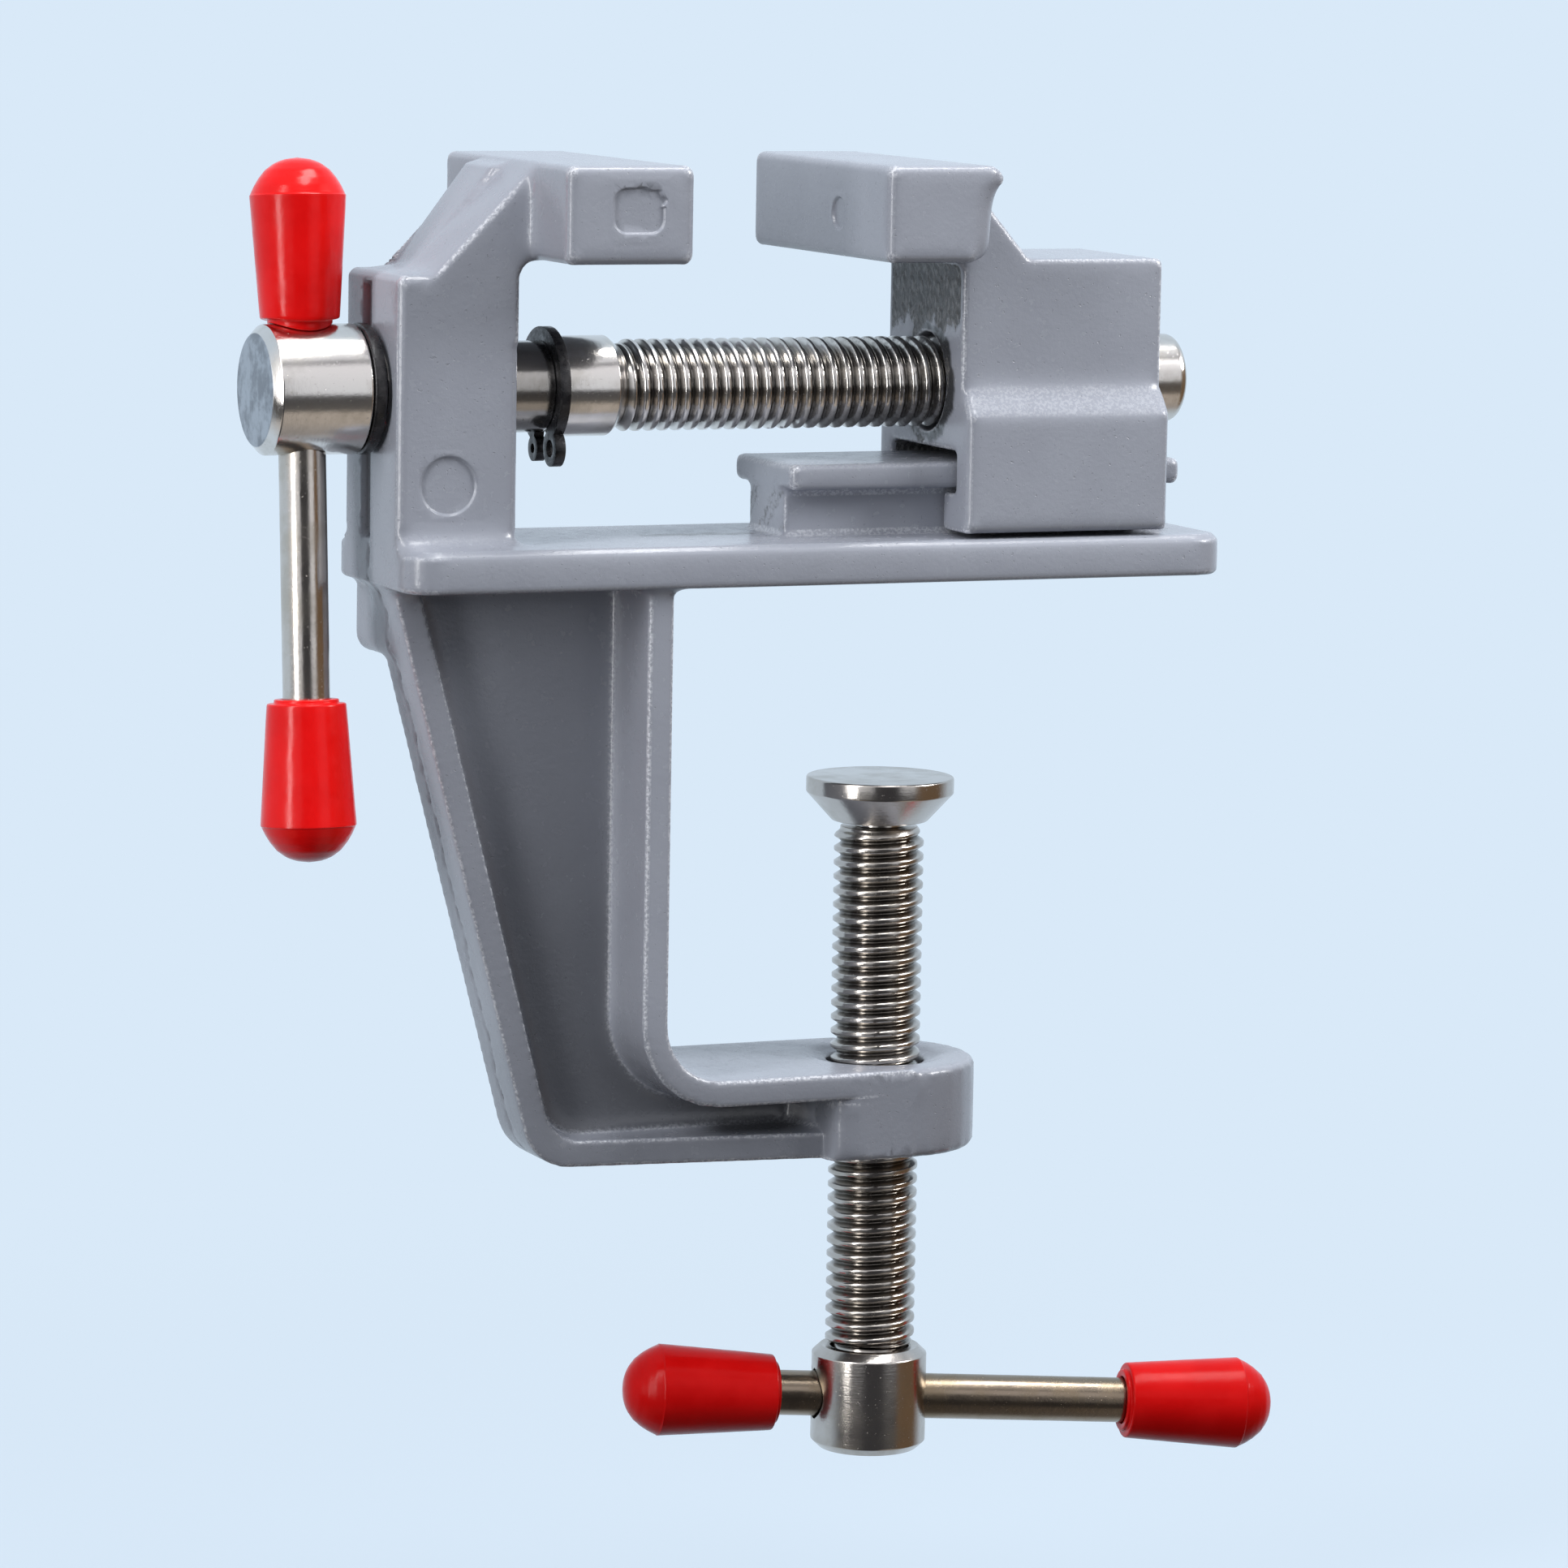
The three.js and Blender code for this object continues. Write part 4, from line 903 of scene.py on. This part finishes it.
def casting_paint():
    """Cool grey semi-gloss paint over a die casting: pores, painted highlights on edges and
    fillets, painted shade, seams, rough spots.
    """
    s = Shader("grey_casting_paint")
    cloud = s.noise(size=7, detail=4)
    fine = s.noise(size=0.42, rough=0.6)
    pores = s.ramp(s.noise(size=0.3, detail=1, rough=0.5), 0.7, 0.78)
    base = s.blend(s.ramp(cloud, 0.35, 0.65), PAINT_DARK, PAINT_LIGHT)
    base = s.blend(s.times(pores, 0.25), base, grey(0.15))
    # Painted shade of the frame's hollows and lower arm; on the moving jaw the same layer carries
    # black grease by the screw
    base = s.blend(s.mark("shade"), base, grey(0.02))
    # Painted highlights: paler and speckled on outer edges, in fillets and where the casting
    # catches the light, less where shade is painted
    speckle = s.ramp(s.noise(size=0.26, detail=2, rough=0.6), 0.44, 0.6, 0.1, 1.0)
    bright = s.math("MAXIMUM", s.ramp(s.mark("edge"), 0.035, 0.085), s.mark("sheen"))
    bright = s.math("MAXIMUM", bright, s.ramp(s.mark("edge"), -0.035, -0.012, 0.55, 0.0))
    bright = s.times(bright, s.math("SUBTRACT", 1.0, s.mark("shade")))
    base = s.blend(s.times(s.times(bright, speckle), 0.55), base, PAINT_GLINT)
    # Rough spots and chips, and painted shade inside the moving jaw's slot
    grainy = s.ramp(fine, 0.3, 0.7, 0.6, 1.3)
    rough_and_shaded_spot = s.ramp(s.times(s.mark("rough"), grainy), 0.25, 0.7)
    scratches = s.noise(size=0.45, detail=4, rough=0.65, stretch=(1, 1, 1.8))
    scratches = s.ramp(scratches, 0.4, 0.66)
    base = s.blend(rough_and_shaded_spot, base, s.blend(scratches, grey(0.06), grey(0.21)))
    base = s.blend(s.ramp(s.mark("seam"), 0.1, 0.8, 0, 0.8), base, SEAM_DARK)
    patchy = s.ramp(s.noise(size=1.3), 0.3, 0.7, 0.21, 0.28)
    roughness = s.math("ADD", patchy, s.times(rough_and_shaded_spot, 0.2))
    peel = s.bump(s.noise(size=1.2, detail=2, rough=0.5), depth=0.014)
    grain = s.bump(fine, depth=0.018, under=peel)
    pitted = s.bump(s.times(pores, -1.0), depth=0.015, under=grain)
    grooves = s.bump(s.times(scratches, rough_and_shaded_spot), depth=0.06, under=pitted)
    return s.finish(Base_Color=base, Roughness=roughness, Normal=grooves)


PIT_STAIN, GRIME = (0.16, 0.14, 0.12, 1), (0.05, 0.042, 0.033, 1)
NOOK_SHADOW = (0.06, 0.055, 0.05, 1)
DISC_DARK, DISC_LIGHT = (0.24, 0.255, 0.28, 1), (0.42, 0.445, 0.48, 1)
# Radii between which the grime in the roots thins out
GRIME_RADII = (3.3 * MM, 3.8 * MM)
# Oil gets thicker along the main thread from the first X to the second
GREASE_RUN = (-17.0 * MM, 3.0 * MM)
# Shaded stretch of the journal between the column and the ring
NOOK_START = (-46.0 * MM, -44.0 * MM)
NOOK_END = ((RING_LEFT - 0.4) * MM, RING_LEFT * MM)
# Skin of the main head's disc end
DISC_SKIN = ((HEAD_LEFT + 0.04) * MM, (HEAD_LEFT + 0.1) * MM)
GRIME_SOFT = 0.2


def plated_metal(name, level, warm, gloss, stretch, thread=None, depth=0.005):
    """Bright plated steel with turning marks across stretch and fine pits.

    level is its reflectance, warm how far it falls off toward blue, gloss its roughness range.
    thread says along which axis a thread runs, where grime lies in the roots."""
    s = Shader(name)
    lines = s.noise(size=0.3, rough=0.6, stretch=stretch)
    pits = s.ramp(s.noise(size=0.2, rough=0.65), 0.66, 0.78)
    cloud = s.noise(size=3.2, detail=4, rough=0.6)
    clean = (level, level * (1 - warm / 2), level * (1 - warm), 1)
    stained = (level * 0.86, level * (0.86 - warm / 2), level * (0.84 - warm), 1)
    base = s.blend(s.ramp(cloud, 0.4, 0.7), clean, stained)
    base = s.blend(s.times(pits, 0.45), base, PIT_STAIN)
    roughness = s.math("ADD", s.ramp(cloud, 0.3, 0.7, *gloss), s.times(pits, 0.2))
    if thread:
        split = s.node("SeparateXYZ", {0: s.place}).outputs
        main = thread == "X"
        height = s.math("SUBTRACT", split["Z"], SCREW_Z * MM) if main else split["X"]
        away = s.node("CombineXYZ", {"X": height, "Y": split["Y"]}).outputs[0]
        grime = s.ramp(s.length(away), *GRIME_RADII, 0.86, 0.05)
        ends = (CLAMP_HEAD_TOP, CLAMP_THREAD_TOP - 0.4)
        if main:
            ends = (THREAD_LEFT, THREAD_RIGHT)
            spots = s.ramp(s.noise(size=0.9, detail=4, rough=0.7), 0.4, 0.6, 0.3, 1.0)
            oily = s.times(s.ramp(split["X"], *GREASE_RUN, 0.0, 0.6), spots)
            grime = s.math("MAXIMUM", grime, oily)
        for end, reach in zip(ends, (-GRIME_SOFT, GRIME_SOFT)):
            inside = s.ramp(split[thread], (end + reach) * MM, (end - reach) * MM)
            grime = s.times(grime, inside)
        base = s.blend(grime, base, GRIME)
        if main:
            nook = s.times(s.ramp(split["X"], *NOOK_END, 0.5, 0), s.ramp(split["X"], *NOOK_START))
            base = s.blend(nook, base, NOOK_SHADOW)
            dull = s.ramp(split["X"], *DISC_SKIN, 1, 0)
            mottle = s.ramp(s.noise(size=1.9, detail=4, rough=0.6), 0.38, 0.62)
            base = s.blend(dull, base, s.blend(mottle, DISC_DARK, DISC_LIGHT))
            roughness = s.math("ADD", roughness, s.times(dull, 0.22))
    turned = s.bump(lines, depth)
    wavy = s.bump(s.noise(size=0.45, detail=4, rough=0.65), depth * 1.6, turned)
    pitted = s.bump(s.times(pits, -1.0), depth * 2, wavy)
    return s.finish(Base_Color=base, Metallic=1.0, Roughness=roughness, Normal=pitted)


def black_steel():
    """Blackened spring steel with an oily sheen."""
    s = Shader("black_spring_steel")
    cloud = s.noise(size=1.2, detail=4, rough=0.6)
    base = s.blend(s.ramp(cloud, 0.35, 0.7), (0.012, 0.012, 0.014, 1), (0.045, 0.043, 0.045, 1))
    roughness = s.ramp(s.noise(size=0.5), 0.3, 0.7, 0.22, 0.42)
    bump = s.bump(s.noise(size=0.3, rough=0.6), depth=0.02)
    return s.finish(Base_Color=base, Metallic=0.35, Roughness=roughness, Normal=bump)


def red_plastic(name, level, gloss):
    """Glossy dipped red vinyl."""
    s = Shader(name)
    cloud = s.noise(size=4)
    base = s.blend(s.ramp(cloud, 0.35, 0.65), (level, 0.003, 0.003, 1),
                   (level * 1.1, 0.005, 0.005, 1))
    roughness = s.ramp(s.noise(size=1.5), 0.3, 0.7, 0.16, 0.27)
    wave = s.bump(s.noise(size=2.4, detail=2, rough=0.5), depth=0.05)
    bump = s.bump(s.noise(size=0.35, rough=0.6), depth=0.008, under=wave)
    return s.finish(Base_Color=base, Roughness=roughness, Normal=bump, Specular_IOR_Level=gloss)


def dress(piece, node, body, material):
    """Gives a piece its material, and puts it on its body in place of the CAD node."""
    piece.data.materials.clear()
    piece.data.materials.append(material)
    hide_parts(node)
    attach(piece, body)


def build_object():
    paint, black = casting_paint(), black_steel()
    nickel_x = plated_metal("nickel_turned_x", 0.7, 0.08, (0.14, 0.22), (0.5, 5, 5), "X")
    nickel_z = plated_metal("nickel_turned_z", 0.5, 0.12, (0.16, 0.26), (5, 5, 0.5), "Z")
    for material, slot, pieces in (
        (paint, "casting_paint", (
            (frame_skin, "frame_casting", "frame"),
            (moving_jaw_skin, "moving_jaw", "moving_jaw"),
        )),
        (nickel_x, "nickel_plate", (
            (main_screw_rod, "main_screw_rod", "main_screw"),
            (main_screw_head, "main_screw_head", "main_screw"),
        )),
        (black, "black_steel", (
            (thrust_washer, "thrust_washer", "main_screw"),
            (retaining_ring, "retaining_ring", "main_screw"),
        )),
        (nickel_z, "nickel_plate", (
            (clamp_screw_rod, "clamp_screw_rod", "clamp_screw"),
            (clamp_screw_head, "clamp_screw_head", "clamp_screw"),
            (clamp_pad, "clamp_pad", "clamp_pad"),
        )),
    ):
        for shape, node, body in pieces:
            dress(shape(), node, body, material)

    for label, start, shift, axis, ends, plating, red in (
        ("main", (MAIN_BAR_X, 0, SCREW_Z), MAIN_BAR_SHIFT, MAIN_BAR_AXIS, ("lower", "upper"),
         plated_metal("bar_plating", 0.6, 0.15, (0.16, 0.26), (2, 2, 9), depth=0.007),
         red_plastic("glossy_red_cap", level=0.7, gloss=0.25)),
        ("clamp", (0, 0, CLAMP_BAR_Z), CLAMP_BAR_SHIFT, CLAMP_BAR_AXIS, ("left", "right"),
         plated_metal("bar_plating_dark", 0.27, 0.38, (0.18, 0.3), (9, 2, 2), depth=0.007),
         # The clamp caps take a darker copy of the same red: painted shade
         red_plastic("red_cap_painted_shade", level=0.46, gloss=0.08)),
    ):
        body, centre = label + "_bar", np.array(start) + shift * np.array(axis)
        bar = handle_bar(label + "_tommy_bar", centre, axis)
        dress(bar, label + "_handle_bar", body, plating)
        for side, end in zip((-1, 1), ends):
            piece = cap(f"{label}_red_cap_{end}", centre, axis, side, end == "upper")
            dress(piece, f"{label}_cap_{end}", body, red)


def camera():
    """The photograph's camera, in the row frame."""
    yaw, pitch, roll = map(math.radians, CAMERA_TURNS)
    front = Vector((-math.sin(yaw) * math.cos(pitch), math.cos(yaw) * math.cos(pitch),
                    math.sin(pitch)))
    right = front.cross(Vector((0, 0, 1))).normalized()
    up = right.cross(front)
    axis_x = math.cos(roll) * right + math.sin(roll) * up
    axis_y = -math.sin(roll) * right + math.cos(roll) * up
    matrix = Matrix((axis_x, axis_y, -front)).transposed().to_4x4()
    matrix.translation = Vector(CAMERA_PLACE) * MM
    lens = bpy.data.cameras.new("photo_camera")
    lens.sensor_width, lens.lens = SENSOR, CAMERA_FOCAL_PIXELS / PHOTO_PIXELS * SENSOR
    lens.clip_start, lens.clip_end = CLIP_START, CLIP_END
    obj = linked("photo_camera", lens)
    obj.matrix_world = matrix
    bpy.context.scene.camera = obj


# Place in metres, size in metres, power in watts
LAMPS = (
    ("left", (-0.72, -0.3, 0.28), (0.16, 1.0), 5.6),
    ("top", (0.12, -0.14, 0.7), (0.5, 0.2), 3.6),
    ("right", (0.33, -0.19, 0.22), (0.14, 0.14), 1.35),
)
AIM = (-0.01, 0, 0.0)


def lamps():
    for name, place, size, power in LAMPS:
        light = bpy.data.lights.new(name, "AREA")
        light.shape, light.energy = "RECTANGLE", power
        light.size, light.size_y = size
        obj = linked(name, light)
        obj.location = place
        facing = Vector(AIM) - Vector(place)
        obj.rotation_euler = facing.to_track_quat("-Z", "Y").to_euler()


BACKDROP = (0.694, 0.815, 0.939, 1)
# Share of height from straight down (0) to straight up (1), and the colour seen there
SHINE = ((0.0, (0.3, 0.29, 0.29)), (0.1, (0.5, 0.45, 0.4)), (0.2, (0.55, 0.49, 0.43)),
         (0.25, (0.12, 0.115, 0.11)), (0.43, (0.07, 0.07, 0.075)), (0.47, (0.85, 0.88, 0.93)),
         (0.83, (1.0, 1.0, 1.05)), (0.87, (0.25, 0.25, 0.27)), (0.905, (0.9, 0.92, 0.97)),
         (1.0, (0.9, 0.92, 0.97)))
AMBIENT = ((0.0, (0.06, 0.06, 0.06)), (0.45, (0.14, 0.14, 0.15)), (0.6, (0.34, 0.35, 0.37)),
           (1.0, (0.7, 0.72, 0.76)))
DARK_SIDE, WARM_SIDE = (0.06, 0.06, 0.065, 1), (0.2, 0.13, 0.075, 1)
# Directions, as parts of a unit vector, between which a side of the studio fades in or out
SIDE_TOP = (0.3, 0.42)
DARK_FROM, DARK_TO, WARM_FROM, BACK_FROM = (-0.62, -0.5), (0.05, 0.28), (0.5, 0.64), (-0.15, 0.3)


def surroundings():
    """World: pale backdrop for the camera, a studio of soft bands for reflections, ambient."""
    world = bpy.data.worlds.new("studio")
    bpy.context.scene.world = world
    world.use_nodes = True
    s = Nodes(world.node_tree)
    s.tree.nodes.clear()
    place = s.node("TexCoord").outputs["Generated"]
    across, back, height = s.node("SeparateXYZ", {0: place}).outputs

    def part(*limits):
        return s.ramp(*limits, curve="LINEAR")

    def graded(colours):
        ramp = s.node("ValToRGB", {"Fac": part(height, -1.0, 1.0)})
        stops = ramp.color_ramp.elements
        while len(stops) < len(colours):
            stops.new(0.5)
        for stop, (at, colour) in zip(stops, colours):
            stop.position, stop.color = at, (*colour, 1)
        return ramp.outputs["Color"]

    low = part(height, *SIDE_TOP, 1.0, 0.0)
    dark = s.times(s.times(part(across, *DARK_FROM), part(across, *DARK_TO, 1.0, 0.0)), low)
    shine = s.blend(dark, graded(SHINE), DARK_SIDE)
    shine = s.blend(s.times(part(across, *WARM_FROM), low), shine, WARM_SIDE)
    shine = s.blend(part(back, *BACK_FROM), shine, BACKDROP)

    rays = s.node("LightPath").outputs
    seen, ambient, glossy = (s.node("Background", {"Color": colour}).outputs[0]
                             for colour in (BACKDROP, graded(AMBIENT), shine))
    lit = s.node("MixShader", {0: rays["Is Glossy Ray"], 1: ambient, 2: glossy})
    final = s.node("MixShader", {0: rays["Is Camera Ray"], 1: lit.outputs[0], 2: seen})
    s.node("OutputWorld", {"Surface": final.outputs[0]})


# The floor lies below the clamp screw at its lowest
FLOOR_DROP = 23.0
FLOOR_RINGS, FLOOR_SIDES = (0.08, 0.2, 0.45, 1.2), 48
FLOOR_COLOUR = (0.46, 0.54, 0.62, 1)
# Distance in metres over which the floor melts into the backdrop, and its share at both ends
FLOOR_MELT = (0.08, 0.26, 0.55, 1.0)


def floor():
    """Pale floor that takes the object's shadow and melts into the backdrop."""
    lowest = cad_box[0][2] - FLOOR_DROP * MM
    sides = FLOOR_SIDES
    turns = [2 * math.pi * k / sides for k in range(sides)]
    points = [(radius * math.cos(t) / MM, radius * math.sin(t) / MM, lowest / MM)
              for radius in FLOOR_RINGS for t in turns]
    faces = [tuple(range(sides))]
    for ring in range(len(FLOOR_RINGS) - 1):
        low = ring * sides
        faces += [(low + i, low + i + sides, low + (i + 1) % sides + sides, low + (i + 1) % sides)
                  for i in range(sides)]
    obj = new_object("studio_floor", points, faces)
    s = Shader("studio_floor")
    diffuse = s.node("BsdfDiffuse", {"Color": FLOOR_COLOUR})
    glow = s.node("Emission", {"Color": BACKDROP, "Strength": 1.0})
    share = s.ramp(s.length(s.place), *FLOOR_MELT)
    mixed = s.node("MixShader", {0: share, 1: diffuse.outputs[0], 2: glow.outputs[0]})
    s.tree.links.new(mixed.outputs[0], s.tree.nodes["Material Output"].inputs["Surface"])
    s.tree.nodes.remove(s.surface)
    obj.data.materials.append(s.material)
    obj.visible_glossy = obj.visible_diffuse = False


camera()
build_object()
lamps()
surroundings()
floor()
bpy.context.scene.view_settings.view_transform = "Standard"
